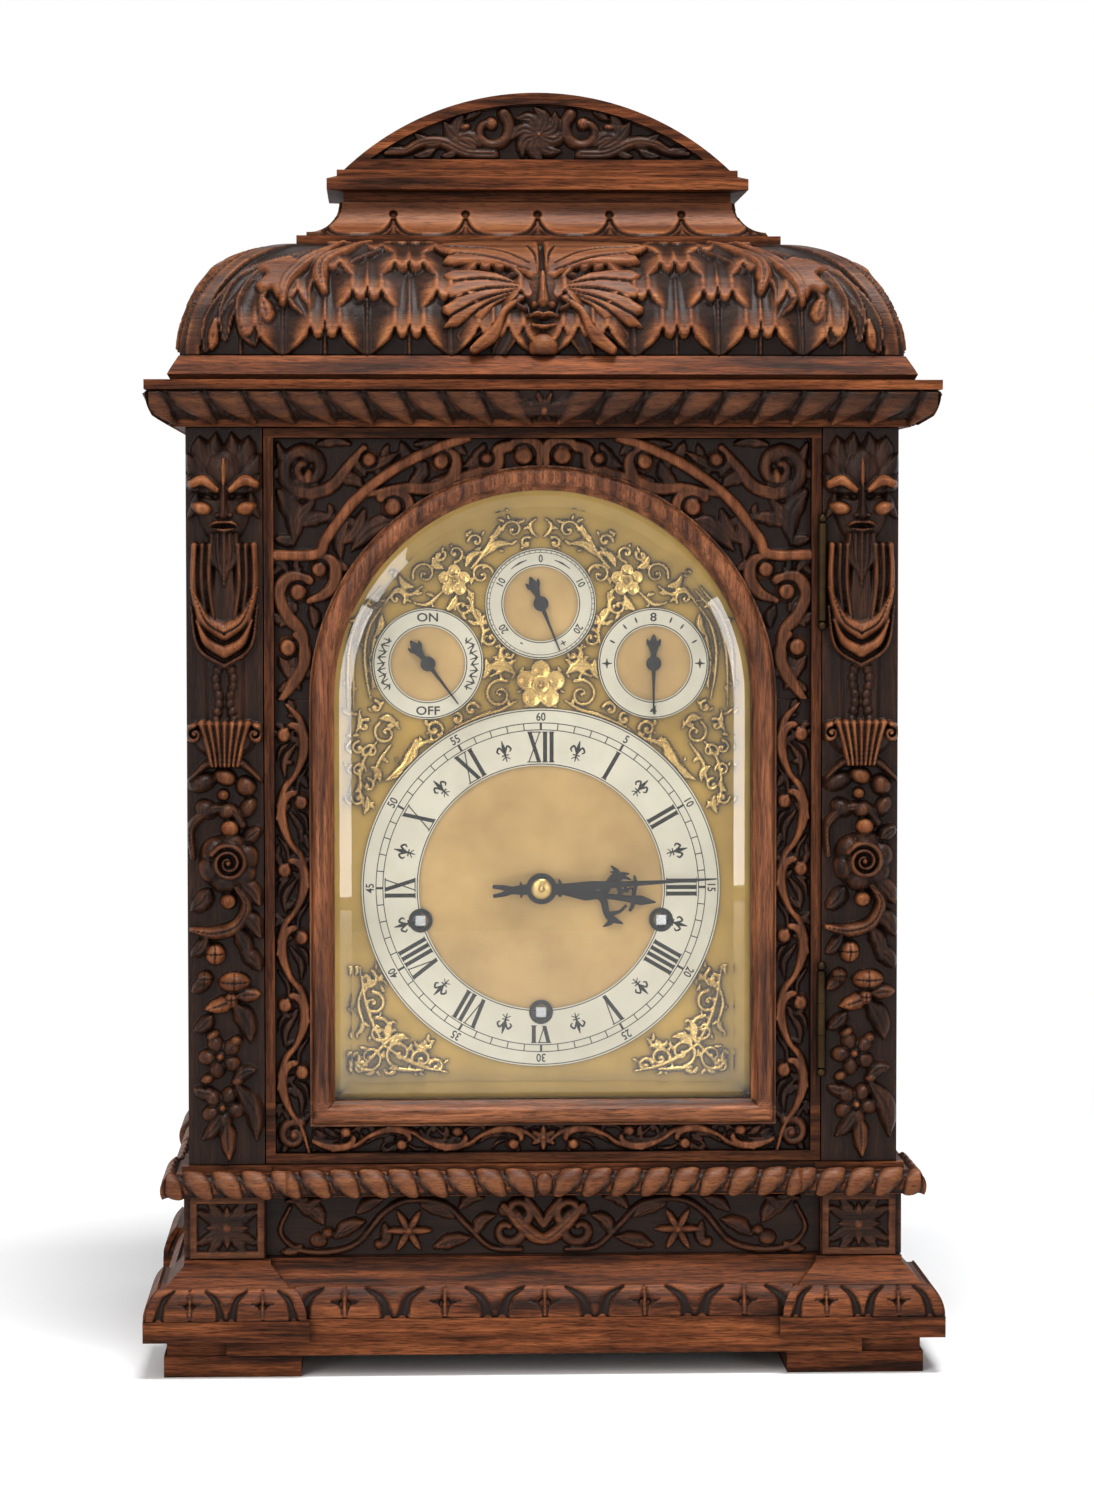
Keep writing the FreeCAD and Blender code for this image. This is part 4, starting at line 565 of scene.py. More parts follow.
    def marks(self):
        """How deep each point lies, which the oak turns into painted shade, and its share of the pale tone
        for rubbing and painted highlight, from 0 to 1.
        """
        peak = np.percentile(self.height, 97)
        proud = self.height - blurred(self.height, max(2, int(2.5 / self.step)))
        depth = np.clip(0.08 + 0.75 * self.height / peak + 0.30 * proud, 0, 1)
        return depth, np.clip(self.worn * (0.75 + 0.45 * proud), 0, 1)


def add_mesh(name, points, faces, finish, body, smooth=True, marks=None):
    """A piece from points in millimetres and faces of any size."""
    mesh = bpy.data.meshes.new(name)
    mesh.from_pydata(np.asarray(points, float) * MM, [], [list(face) for face in faces])
    mesh.materials.append(finish)
    mesh.polygons.foreach_set("use_smooth", np.full(len(mesh.polygons), smooth))
    if marks is None and smooth:
        mesh.set_sharp_from_angle(angle=SHARP_EDGE)
    for label, values in (marks or {}).items():
        mesh.attributes.new(label, "FLOAT", "POINT").data.foreach_set("value", values.astype(np.float32))
    mesh.validate()
    piece = bpy.data.objects.new(name, mesh)
    bpy.context.scene.collection.objects.link(piece)
    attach(piece, body)
    return piece


def carved(name, relief, lay, finish, body="case", keep=None, depth=1.0):
    """A closed piece with the relief as its face; lay gives x, y and z for u, v and a height."""

    def spread(height):
        return np.stack(np.broadcast_arrays(*lay(relief.u, relief.v, height)), -1).reshape(-1, 3)

    rows, columns = relief.u.shape
    count = rows * columns
    face, back = spread(relief.height), spread(np.full_like(relief.u, -depth))
    index = np.arange(count).reshape(rows, columns)
    cells = np.stack([index[:-1, :-1], index[:-1, 1:], index[1:, 1:], index[1:, :-1]], -1)
    kept = np.ones((rows - 1, columns - 1), bool)
    if keep is not None:
        kept = keep[:-1, :-1] & keep[:-1, 1:] & keep[1:, 1:] & keep[1:, :-1]
    quads = [cells[kept], cells[kept][:, ::-1] + count]
    fringe = np.pad(kept, 1)
    for first, second, up, across in ((0, 1, -1, 0), (1, 2, 0, 1), (2, 3, 1, 0), (3, 0, 0, -1)):
        beside = fringe[1 + up : rows + up, 1 + across : columns + across]
        edge = cells[kept & ~beside]
        a, b = edge[:, first], edge[:, second]
        quads.append(np.stack([b, a, a + count, b + count], -1))
    quads = np.concatenate(quads)
    sample = cells[kept][kept.sum() // 2]
    across, up = face[sample[1]] - face[sample[0]], face[sample[3]] - face[sample[0]]
    if np.dot(np.cross(across, up), face[sample[0]] - back[sample[0]]) < 0:
        quads = quads[:, ::-1]
    used, quads = np.unique(quads, return_inverse=True)
    quads = quads.reshape(-1, 4)
    points = np.concatenate([face, back])[used]
    marks = {}
    # Marks the oak reads: depth, for painted shade in the low parts, and the pale share, for rubbing and
    # painted highlight; the back gets neither.
    for label, values, behind in zip(("depth", "worn"), relief.marks(), (1.0, 0.0)):
        marks[label] = np.concatenate([values.ravel(), np.full(count, behind)])[used]
    rounded = np.arange(len(quads)) < 2 * kept.sum()
    return add_mesh(name, points, quads, finish, body, rounded, marks)


def faced(face, along, out, z):
    """x, y and z on one face of the case, from the distances along it and out from the middle."""
    if face == "front":
        return along, -out, z
    return (-out if face == "left" else out), along, z


def on_front(y, turn=1):
    """Lays carving on a plane that faces the front, mirrored when turn is -1."""
    return lambda u, v, h: (u * turn, y - h, v)


# Carved door


def running_scroll(relief, start, length, half, middle, count, upright):
    """A stem that swings from side to side and curls over into a round knop in each bend."""
    pitch = length / count
    stem = (
        (0.88, -1.24), (0.43, -0.83), (-0.22, -0.56), (-0.62, -0.25), (-0.54, 0.02), (-0.05, 0.14),
        (0.3, 0.08),
    )
    widths = (0.10, 0.13, 0.18, 0.32, 0.31, 0.22, 0.15)
    branch = ((-0.78, -0.06), (-0.35, 0.24), (0.35, 0.45))
    dark_leaves = (
        ((-0.15, -0.15), (0.42, -0.66), 0.24), ((0.15, -0.10), (0.82, -0.40), 0.16),
        ((-0.78, -0.50), (-0.30, -0.95), 0.17),
    )
    for index in range(count):
        side = 1 if index % 2 == 0 else -1
        far = start + pitch * (index + 0.6)

        def spots(points):
            placed = [(middle + side * a * half, far + b * pitch) for a, b in points]
            return placed if upright else [spot[::-1] for spot in placed]

        for root, tip, wide in dark_leaves:
            relief.leaf(*spots((root, tip)), half * wide, 3.2, 0.15 * side, 0.05)
        relief.stroke(spots(branch), [half * 0.2, half * 0.22, 0.6], 4.4, 0.45, cushion_shape)
        relief.stroke(spots(stem), [half * part for part in widths], 5.0, 0.6, cushion_shape)
        relief.knop(spots([(0.47, 0.0)])[0], half * 0.40, half * 0.46)


def door_head():
    """Straps, scrolls and knops round the arch of the window, the same on both sides."""
    half = door_high[0] - BORDER
    relief = Relief(-half, half, Z_ARCH, door_high[2] - BORDER, 0.62, both=True)
    outside = np.hypot(relief.u, relief.v - Z_ARCH) > SIGHT + BEAD - 0.8
    leaves = (
        ((-76, 450), (-101, 433), 6.2, -0.10), ((-94, 454), (-107, 436), 4.4, 0.12),
        ((-103, 448), (-106, 428), 4.0, -0.12), ((-62, 479), (-71, 468), 4.4, 0.15),
        ((-58, 470), (-43, 477), 4.0, -0.2), ((-31, 488), (-42, 477), 4.4, 0.15),
        ((-100, 479), (-75, 485), 4.6, -0.12), ((-107, 471), (-94, 466), 4.4, 0.2),
        ((-118, 489), (-100, 489), 3.4, 0.1), ((-138, 464), (-131.5, 439), 6.0, 0.16),
        ((-121, 459), (-131, 436), 5.0, -0.12), ((-125, 447), (-110, 450), 4.2, 0.15),
        ((-128, 484), (-117, 471), 4.0, 0.35), ((-133, 405), (-138.5, 393), 4.0, 0.1),
        ((-130, 402), (-126.5, 425), 3.6, 0.15), ((-138, 377), (-133, 365), 3.8, 0.1),
        ((-131, 371), (-127.5, 360), 3.4, -0.1), ((-122, 404), (-120, 392), 3.4, 0.1),
        ((-67, 489), (-49, 490.5), 3.0, 0.0), ((-139, 489), (-136, 470), 3.4, 0.1),
        ((-139, 428), (-134, 422), 3.0, 0.1),
    )
    relief.leaves(leaves, 3.8, 0.1)
    relief.fill(260, 10.0, 3.2, 0.05, outside)
    relief.scroll((-124.6, 476.3), 13.0, 1.5, -80, -1, 4.4, 4.4, 0.2)
    relief.bump(-123.1, 472.0, 2.6, 4.8, 5.4, -8, 0.8)
    relief.stroke(
        [(-122, 463), (-111, 467), (-103, 476.5), (-94, 487)], [3.8, 3.4, 2.2], 4.6, 0.35, cushion_shape
    )
    stems = (
        [(-119, 430.5), (-110.5, 427), (-109, 418), (-114, 411), (-123, 407)],
        [(-123, 418), (-133, 419.5), (-138.8, 411), (-134, 399), (-126.5, 390), (-124.6, 378)],
        [(-129, 389), (-125.5, 381), (-126, 373), (-132, 363), (-138, 355)],
        [(-85, 461.5), (-74, 462), (-70.5, 455), (-75, 448)],
        [(-54, 487), (-46.5, 482), (-47.5, 471.5), (-58, 466), (-74, 466), (-92, 463)],
        [(-15, 490), (-3.5, 489), (-1.6, 477.5)],
        [(-13, 489), (-23, 486), (-25, 477), (-37, 473.5), (-50, 470)],
    )
    for stem in stems:
        relief.stroke(stem, [3.0, 4.0, 3.8, 1.8], 4.8, 0.45, cushion_shape)
    knops = (
        ((-91.2, 481.0), 3.8), ((-117.5, 423.6), 4.2), ((-128.5, 411.8), 4.6), ((-134.0, 382.5), 4.6),
        ((-78.5, 456.0), 4.8), ((-53.5, 480.2), 4.4), ((-10.0, 483.0), 5.2), ((-29.5, 481.5), 3.2),
    )
    for spot, size in knops:
        relief.knop(spot, size, size * 1.15)
    strap = [
        (-142, 431), (-119, 431.5), (-113.5, 440), (-98.6, 459.7), (-79, 475.3), (-59.4, 485.5), (-40, 493)
    ]
    relief.stroke(strap, [3.0], 6.0, 0.9, cushion_shape)
    carved("door_carving_head", relief, on_front(GROUND_Y), OAK_CARVED_UP, "front_door", keep=outside)


def door_sides():
    """Running scrolls up both stiles and along the rail under the glass."""
    low, high = -door_high[0] + BORDER, -SIGHT - BEAD + 0.8
    relief = Relief(low, high, door_low[2] + BORDER, Z_ARCH, FINE_STEP)
    middle, half = (low + high) / 2, (high - low) / 2
    running_scroll(relief, Z_SILL - 6, Z_ARCH - Z_SILL + 2, half, middle, 6, True)
    relief.scroll((middle, door_low[2] + BORDER + 9.5), 7.5, 1.2, 60, 1, 3.0, 4.8, 0.4, 2.8)
    relief.fill(90, 7.0, 3.0, 0.05)
    carved("door_carving_left", relief, on_front(GROUND_Y), OAK_CARVED_UP, "front_door")
    carved("door_carving_right", relief, on_front(GROUND_Y, -1), OAK_CARVED_UP, "front_door")
    sill = Relief(high, -high, door_low[2] + BORDER, Z_SILL - BEAD + 0.8, FINE_STEP, both=True)
    half = (sill.v_line[-1] - sill.v_line[0]) / 2
    running_scroll(sill, high, -high - 4, half, sill.v_line[0] + half, 4, False)
    sill.flower((0, sill.v_line[0] + half), half * 0.95, 6, 4.4, 30, worn=0.5)
    sill.fill(70, 6.5, 3.0, 0.05)
    carved("door_carving_sill", sill, on_front(GROUND_Y), OAK_CARVED_UP, "front_door")


def arch_loop(half, z_low):
    """A round-topped outline, from its low left corner round to its low right corner."""
    angle = np.linspace(math.pi, 0, 72)
    count = 40
    side = np.linspace(z_low, Z_ARCH, count, endpoint=False)
    sill = np.linspace(half, -half, count, endpoint=False)[1:]
    x = np.concatenate([np.full(count, -half), half * np.cos(angle), np.full(count, half), sill])
    z = np.concatenate([side, Z_ARCH + half * np.sin(angle), side[::-1], np.full(count - 1, z_low)])
    return np.stack([x, z], -1)


def lofted(loops, ring):
    """Faces between loops of one count; a ring joins the last to the first, or else both ends close."""
    count = len(loops[0])
    points = np.concatenate(loops)
    faces = []
    for layer in range(len(loops) if ring else len(loops) - 1):
        here, there = layer * count, (layer + 1) % len(loops) * count
        for index in range(count):
            after = (index + 1) % count
            faces.append((here + index, there + index, there + after, here + after))
    if not ring:
        faces.append(tuple(range(count)))
        faces.append(tuple(range(len(points) - 1, len(points) - count - 1, -1)))
    return points, faces


def arch_ring(sections):
    """Loops round the window from (distance outside the sight, y) pairs."""
    loops = []
    for out, y in sections:
        flat = arch_loop(SIGHT + out, Z_SILL - out)
        loops.append(np.stack([flat[:, 0], np.full(len(flat), y), flat[:, 1]], -1))
    return loops


def door_window():
    """The moulded bead and the bevelled pane."""
    glass_front, glass_edge, glass_back = FRONT + 8.0, FRONT + 10.0, FRONT + 13.0
    lap = 3.5
    sections = [(0.0, glass_front), (0.0, FRONT + 4.0), (1.6, FRONT + 2.6), (2.2, FRONT + 1.2)]
    for step in range(13):
        angle = math.pi * step / 12
        sections.append((7.0 - 4.6 * math.cos(angle), FRONT + 0.9 - 3.2 * math.sin(angle)))
    sections += [(11.9, FRONT + 1.6), (BEAD, FRONT + 1.4), (BEAD, glass_front)]
    points, faces = lofted(arch_ring(sections)[::-1], True)
    bead = add_mesh("door_bead_moulding", points, faces, OAK_BEAD, "front_door")
    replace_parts(bead, "door_bead")
    loops = arch_ring([(-9.0, glass_front), (0.0, glass_edge), (lap, glass_edge), (lap, glass_back)])
    points, faces = lofted(loops[::-1], False)
    pane = add_mesh("bevelled_pane", points, faces, GLASS, "front_door", smooth=False)
    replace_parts(pane, "door_glass")


# Mouldings: carving on a strip that follows a profile


def strip_on(profile, face, half_along, half_out, extra=None):
    """Lays a strip on a profile of (distance out, z) points; v runs along the profile."""
    line = np.asarray(profile, float)
    steps = np.hypot(*np.diff(line, axis=0).T)
    run = np.concatenate([[0], np.cumsum(steps)])
    slopes = np.diff(line, axis=0) / steps[:, None]
    slope_at = (run[:-1] + run[1:]) / 2

    def lay(u, v, h):
        out, z = np.interp(v, run, line[:, 0]), np.interp(v, run, line[:, 1])
        rise_out, rise_z = np.interp(v, slope_at, slopes[:, 0]), np.interp(v, slope_at, slopes[:, 1])
        size = np.hypot(rise_out, rise_z)
        out = out + h * rise_z / size
        if extra is not None:
            out = out + extra(u)
        limit = half_along + out
        return faced(face, np.clip(u, -limit, limit), half_out + out, z - h * rise_out / size)

    return lay, run[-1]


FACES = (("front", HALF_W, HALF_D), ("left", HALF_D, HALF_W), ("right", HALF_D, HALF_W))


def gadroons(relief, length, pitch, lean, top, half, worn, shares):
    """Leaning lobes that part from the middle of the face."""
    for index in range(int(half / pitch) + 2):
        at = -pitch * (index + 0.75)
        line = [
            (at - lean, length * 0.97), (at - lean * 0.15, length * 0.62), (at + lean * 0.8, length * 0.06)
        ]
        relief.stroke(line, [pitch * share for share in shares], top, worn)
        beside = [(point[0] + pitch * 0.5, point[1]) for point in line]
        relief.stroke(beside, [0.5, 0.8, 0.5], top * 0.6, 0.1)


def cornice_bands():
    """Leaning lobes under the cornice, parted by a flower in the middle of each face."""
    low = Z_CORNICE + 4.0
    rise = Z_MOULDING - 5.0 - low
    outer = CORNICE_WIDE * 0.88
    profile = [(CORNICE_WIDE * 0.29, low), (CORNICE_WIDE * 0.65, low + rise * 0.3), (outer, low + rise)]
    for face, along, out in FACES:
        lay, length = strip_on(profile, face, along, out)
        half = along + outer
        relief = Relief(-half, half, 0.3, length - 0.3, BAND_STEP, both=True)
        relief.height += 0.4
        # The pair makes each lobe pale along its ridge and dark at its edges: rubbing and painted
        # highlight.
        gadroons(relief, length, 20.5, 9.5, 4.4, half, (0.55, 0.0), (0.34, 0.37, 0.27, 0.10))
        relief.flower((0, length * 0.5), length * 0.5, 8, 3.6, 22.5, worn=0.2)
        relief.leaf((-4, length * 0.5), (-14, length * 0.85), 3.4, 3.6, 0.2, 0.15)
        relief.leaf((-4, length * 0.5), (-14, length * 0.2), 3.4, 3.6, -0.2, 0.15)
        # The darker finish here also paints the overhang's shade on these lobes.
        carved("cornice_gadroons_" + face, relief, lay, OAK_DARK)


def surbase_bands():
    """Leaning lobes on the round edge of the board under the body, which breaks out at the corners."""
    wide, tall, low = SURBASE_WIDE, SURBASE_TALL, Z_BODY - SURBASE_TALL
    t = np.linspace(0, 1, 14)
    out = wide * (0.80 + 0.22 * np.sin(math.pi * (t * 0.75 + 0.1)) - 0.45 * t**3)
    profile = np.stack([out, low + tall * (0.02 + 0.74 * t)], -1)

    def corner_break(u, along):
        return 3.5 * np.clip((np.abs(u) - along + PILASTER + 12.3) / 1.0, 0, 1)

    for face, along, side_out in FACES:
        lay, length = strip_on(
            profile, face, along, side_out, lambda u, along=along: corner_break(u, along)
        )
        half = along + wide + 3.0
        relief = Relief(-half, half, 0.2, length - 0.2, BAND_STEP, both=True)
        # The pair makes each lobe pale along its ridge and darker at its edges: rubbing and painted
        # highlight.
        gadroons(relief, length, 15.4, 5.4, 3.0, half, (0.75, 0.25), (0.28, 0.42, 0.36, 0.20))
        relief.bump(0, length * 0.45, 4.5, length * 0.5, 3.0, worn=0.6)
        carved("surbase_gadroons_" + face, relief, lay, OAK_CARVED)


def egg_and_dart(relief, length, centre, pitch, count):
    """Round-headed eggs with a star cut into each and leaning grooves between them."""
    low, waist, star, head = length * 0.04, length * 0.6, length * 0.44, length * 0.92
    for index in range(count):
        at = centre + (index - (count - 1) / 2) * pitch
        for side in (-1, 1):
            reach_out = side * pitch
            groove = [
                (at + reach_out * 0.43, low), (at + reach_out * 0.36, waist), (at + reach_out * 0.22, head)
            ]
            relief.gouge(groove, [pitch * 0.085, pitch * 0.06, pitch * 0.02], 2.2)
            arm = [(at, star), (at + reach_out * 0.15, length * 0.50)]
            relief.gouge(arm, [pitch * 0.06, pitch * 0.03, 0.3], 2.0)
        relief.gouge([(at, low), (at, star), (at, head)], [pitch * 0.03, pitch * 0.062, pitch * 0.02], 2.2)
        relief.stroke([(at, length * 0.06), (at, length * 0.9)], [pitch * 0.020], 1.7, 0.3)


def plinth_bands():
    """The ovolo of the plinth, on the corner blocks and on the rails set back between them."""
    wide, low, fillet = PLINTH_WIDE, reach("feet")[1][2], 11.0
    t = np.linspace(0, 1, 9)
    corner = PILASTER / 2 + wide * 0.93

    def ovolo(inset):
        out = wide * (0.93 - 0.29 * t**1.8) - inset
        return np.stack([out, low + fillet + (PLINTH_TALL * 0.66 - fillet) * t], -1)

    def swelling(v, length):
        return 1.5 + 0.5 * np.sin(math.pi * np.clip(v / length, 0.05, 0.95))

    for face, along, side_out in FACES:
        lay, length = strip_on(ovolo(6.0), face, along, side_out)
        half = along - PILASTER - wide * 0.66
        relief = Relief(-half, half, 0.2, length - 0.2, BAND_STEP)
        relief.height += swelling(relief.v, length)
        count = int(round(2 * half / 49.0))
        egg_and_dart(relief, length, 0, 2 * half / count, count)
        carved("plinth_rail_carving_" + face, relief, lay, OAK_OVOLO)
        for end in (-1, 1):
            middle = end * (along - PILASTER / 2)
            flat_lay, length = strip_on(ovolo(0.0), face, math.inf, side_out)

            def block_lay(u, v, h, middle=middle, flat_lay=flat_lay, length=length):
                limit = corner - wide * 0.29 * np.clip(v / length, 0, 1) ** 1.8 + 0.4
                return flat_lay(np.clip(u, middle - limit, middle + limit), v, h)

            block = Relief(middle - corner, middle + corner, 0.2, length - 0.2, BAND_STEP)
            block.height += swelling(block.v, length)
            egg_and_dart(block, length, middle, 38.0, 2)
            name = "plinth_block_carving_%s_%s" % (face, "ab"[end > 0])
            carved(name, block, block_lay, OAK_OVOLO)


def frieze():
    """A flowering vine between the corner blocks."""
    half, z_high = HALF_W - PILASTER, Z_BODY - SURBASE_TALL - 0.4
    relief = Relief(-half, half, Z_FRIEZE + 0.6, z_high, FINE_STEP, both=True)
    leaves = (
        ((-110, 71), (-94, 79), 4.6, 0.1), ((-64, 87.5), (-47, 80), 4.4, 0.1),
        ((-57, 65.5), (-38, 70), 4.4, 0.05), ((-98, 84), (-84, 91), 3.8, 0.1),
        ((-130, 89), (-116, 77), 5.4, 0.15), ((-124, 84), (-117, 91), 3.4, 0.2),
        ((-84, 77), (-88, 64), 3.6, 0.2), ((-44, 86), (-31, 91), 3.6, 0.2),
        ((-36, 72), (-25, 82), 4.0, 0.2), ((-128, 66), (-139, 63), 3.2, 0.1),
        ((-136, 90), (-124, 91.5), 2.2, 0.0),
    )
    for start, end, wide, bend in leaves:
        relief.leaf(start, end, wide, 4.0, bend, 0.3)
        relief.gouge([start, end], [0.3, 0.6, 0.3], 1.0)
    vine = [
        (-134, 87), (-139, 74), (-130, 64.5), (-113, 63), (-98, 68), (-85, 83), (-72, 90), (-53, 88),
        (-40, 76), (-28, 65), (-12, 63.5),
    ]
    relief.stroke(vine, [1.2, 1.9, 1.9, 1.9, 1.6], 4.2, 0.2)
    relief.flower((-71.3, 74.0), 12.5, 6, 4.8, 0, half=2.4, worn=0.6, eye=0.24)
    for spot, size in (((-119, 69), 4.8), ((-114, 73), 3.4), ((-87, 67), 3.0)):
        relief.bump(*spot, size, size * 0.9, 4.6, worn=0.45)
    relief.scroll((-19, 74), 10.5, 1.1, 100, -1, 3.6, 4.4, 0.3)
    relief.scroll((-14, 84), 7.5, 1.0, -60, 1, 3.2, 4.8, 0.5)
    relief.stroke([(-21, 87), (-13, 78), (-5, 71), (0, 69)], [1.8, 3.8, 4.2, 3.2], 5.2, 0.7, leaf_shape)
    relief.stroke([(-9, 91), (-4, 83), (0, 77)], [1.6, 3.0, 2.6], 4.8, 0.45, leaf_shape)
    carved("frieze_carving", relief, on_front(GROUND_Y), OAK_DARK)


def die_rosettes():
    """A framed rosette on each face of the corner blocks."""
    half, low, high, border = 19.4, Z_FRIEZE + 0.8, Z_BODY - SURBASE_TALL - 0.6, 4.0
    for face, along, out in FACES:
        for end in (-1, 1):
            middle = end * (along - PILASTER / 2)
            die = Relief(middle - half, middle + half, low, high, FINE_STEP)
            upright = np.minimum(die.v - low, high - die.v)
            edge = np.minimum(half - np.abs(die.u - middle), upright)
            centre = (middle, Z_FRIEZE + 17.0)
            for turn in (45, 135, 225, 315):
                for side in (-13, 13):
                    way = math.radians(turn + side)
                    tip = (centre[0] + 16.5 * math.cos(way), centre[1] + 15.0 * math.sin(way))
                    die.stroke([centre, tip], [1.4, 2.6, 3.4, 2.0], 2.6, 0.1, leaf_shape)
            die.flower(centre, 11.5, 4, 2.8, 0, half=2.8, eye=0.26)
            rim = np.where(edge < border, 2.8 * np.clip((border - edge) / 0.6, 0, 1), UNDER)
            die.lift(WHOLE, rim, 0.55)
            lay = lambda u, v, h, face=face, out=out: faced(face, u, out + h, v)
            carved("die_rosette_%s_%s" % (face, "ab"[end > 0]), die, lay, OAK_DARK)


# Carved dome, cove and pediment


DOME_R = Z_COVE - Z_DOME
DOME_RUN = DOME_R * math.pi / 2
LEAF_EDGE = (
    (0, 0), (0.08, 1.2), (0.25, 4.6), (0.45, 8.2), (0.58, 11.4), (0.635, 15.0), (0.68, 15.0), (0.73, 11.6),
    (0.84, 10.4), (0.93, 11.6), (0.98, 15.0), (1.0, 18.0),
)


def dome_lay(face, along, out):
    """The cushion's quarter circle; v runs up its curve."""

    def lay(u, v, h):
        angle = v / DOME_R
        limit = along - DOME_R + DOME_R * np.cos(angle)
        across = out - DOME_R + (DOME_R + h) * np.cos(angle)
        return faced(face, np.clip(u, -limit, limit), across, Z_DOME + (DOME_R + h) * np.sin(angle))

    return lay


def dome_leaf(relief, u, tip, half):
    """One three-lobed leaf, point down, hollow beside its rib and standing off the row under it."""
    tall = 46
    area = relief.window((u - half, tip), (u + half, tip + tall))
    across = np.abs(relief.u[area] - u) / half
    lobes = np.array(LEAF_EDGE)
    above = relief.v[area] - tip - np.interp(across, lobes[:, 0], lobes[:, 1])
    swell = np.clip((across - 0.06) / 0.40, 0, 1) ** 0.8
    fade = np.clip(1 - above / tall, 0, 1) ** 1.2
    height = (2.4 + 4.2 * swell) * np.clip(above / 1.5, 0, 1) ** 0.4 * fade
    height += 2.2 * np.exp(-((across * half / 0.8) ** 2)) * fade
    # Pale near the leaf's free edge, fading to dark where it runs up under the row above: rubbing with
    # painted highlight, then painted shadow under the next leaf.
    worn = np.clip((across - 0.16) / 0.22, 0, 1) * np.clip(1.75 - above / 9.5, 0, 1) * 0.85
    relief.lift(area, np.where((above > 0) & (across < 1), height, UNDER), worn)


def dome_carving():
    """Rows of hanging leaves over the cushion, with a palm leaf and long fronds at each corner."""
    palm = (
        (-124, 50), (-132, 57), (-146, 52), (-152, 47), (-146, 43), (-151.5, 36), (-148, 31), (-142, 33),
        (-139, 28), (-133, 33), (-129, 41),
    )
    fronds = (
        ([(-122, 66), (-140, 52), (-156, 40), (-168, 27), (-174.5, 14.5), (-176, 3)],
         4.8, 5.4, (0.05, 0.55)),
        ([(-134, 57), (-151, 46), (-160.5, 34), (-165.5, 21), (-166, 9)], 5.0, 6.2, (0.0, 0.5)),
        ([(-132, 50), (-146, 41), (-153.5, 27), (-153, 14), (-151, 6)], 7.6, 7.2, (0.0, 0.5)),
        ([(-82, 78), (-91, 67), (-104, 56), (-106, 48)], 6.4, 6.8, (0.0, 0.35)),
        ([(-100, 76), (-114.5, 59), (-126, 42), (-127.5, 30), (-123, 20)], 7.4, 7.6, (0.0, 0.6)),
    )
    tongues = (
        ([(-104, 78), (-113, 62), (-125, 51), (-134.5, 38.5), (-136, 27)], 5.2, 8.4),
        ([(-90, 80), (-103, 63), (-114.5, 53), (-117, 43), (-114.5, 33)], 5.4, 8.4),
        ([(-147, 30), (-144, 18)], 5.4, 6.4),
        ([(-171, 18), (-173, 4)], 3.6, 6.0),
    )
    pitch = 22.0
    for face, along, out in FACES:
        step = 0.82 if face == "front" else 0.9
        relief = Relief(-along, along, 0.4, DOME_RUN - 0.6, step, both=True)
        edge = along - DOME_R + DOME_R * np.cos(relief.v / DOME_R) - np.abs(relief.u)
        for rib in range(8):
            at = -4.0 - pitch * rib
            relief.stroke([(at, 0), (at, 30)], [1.1], 3.0, 0.15)
        for row, tip in enumerate((-2.0, 17.5, 36.0, 54.0, 72.0)):
            for rib in range(row % 2, 8, 2):
                at = -4.0 - pitch * rib
                if at > -along + 50 + 0.5 * tip:
                    dome_leaf(relief, at, tip, pitch)
                    dome_leaf(relief, -at, tip, pitch)
        corner = (HALF_W - along, 0)
        for line, wide, top, worn in fronds:
            widths = [wide * 0.4, wide * 0.9, wide, wide * 0.9, 1.6]
            relief.stroke(moved(line, corner), widths, top, worn, dish_shape)
        relief.patch(moved(palm, corner), 7.6, 3.0, 0.7)
        for line, wide, top in tongues:
            widths = [wide * 0.3, wide * 0.7, wide, wide, wide * 0.45]
            relief.stroke(moved(line, corner), widths, top, (0.7, 0.5), leaf_shape)
        band = np.where(edge < 8.0, 2.8 * np.clip(edge + 0.6, 0, 1), UNDER)
        relief.lift(WHOLE, band, 0.6)
        relief.height *= np.interp(relief.v, (58, 92), (1.0, 0.25))
        carved("dome_carving_" + face, relief, dome_lay(face, along, out), OAK_CARVED, keep=edge > -0.9)


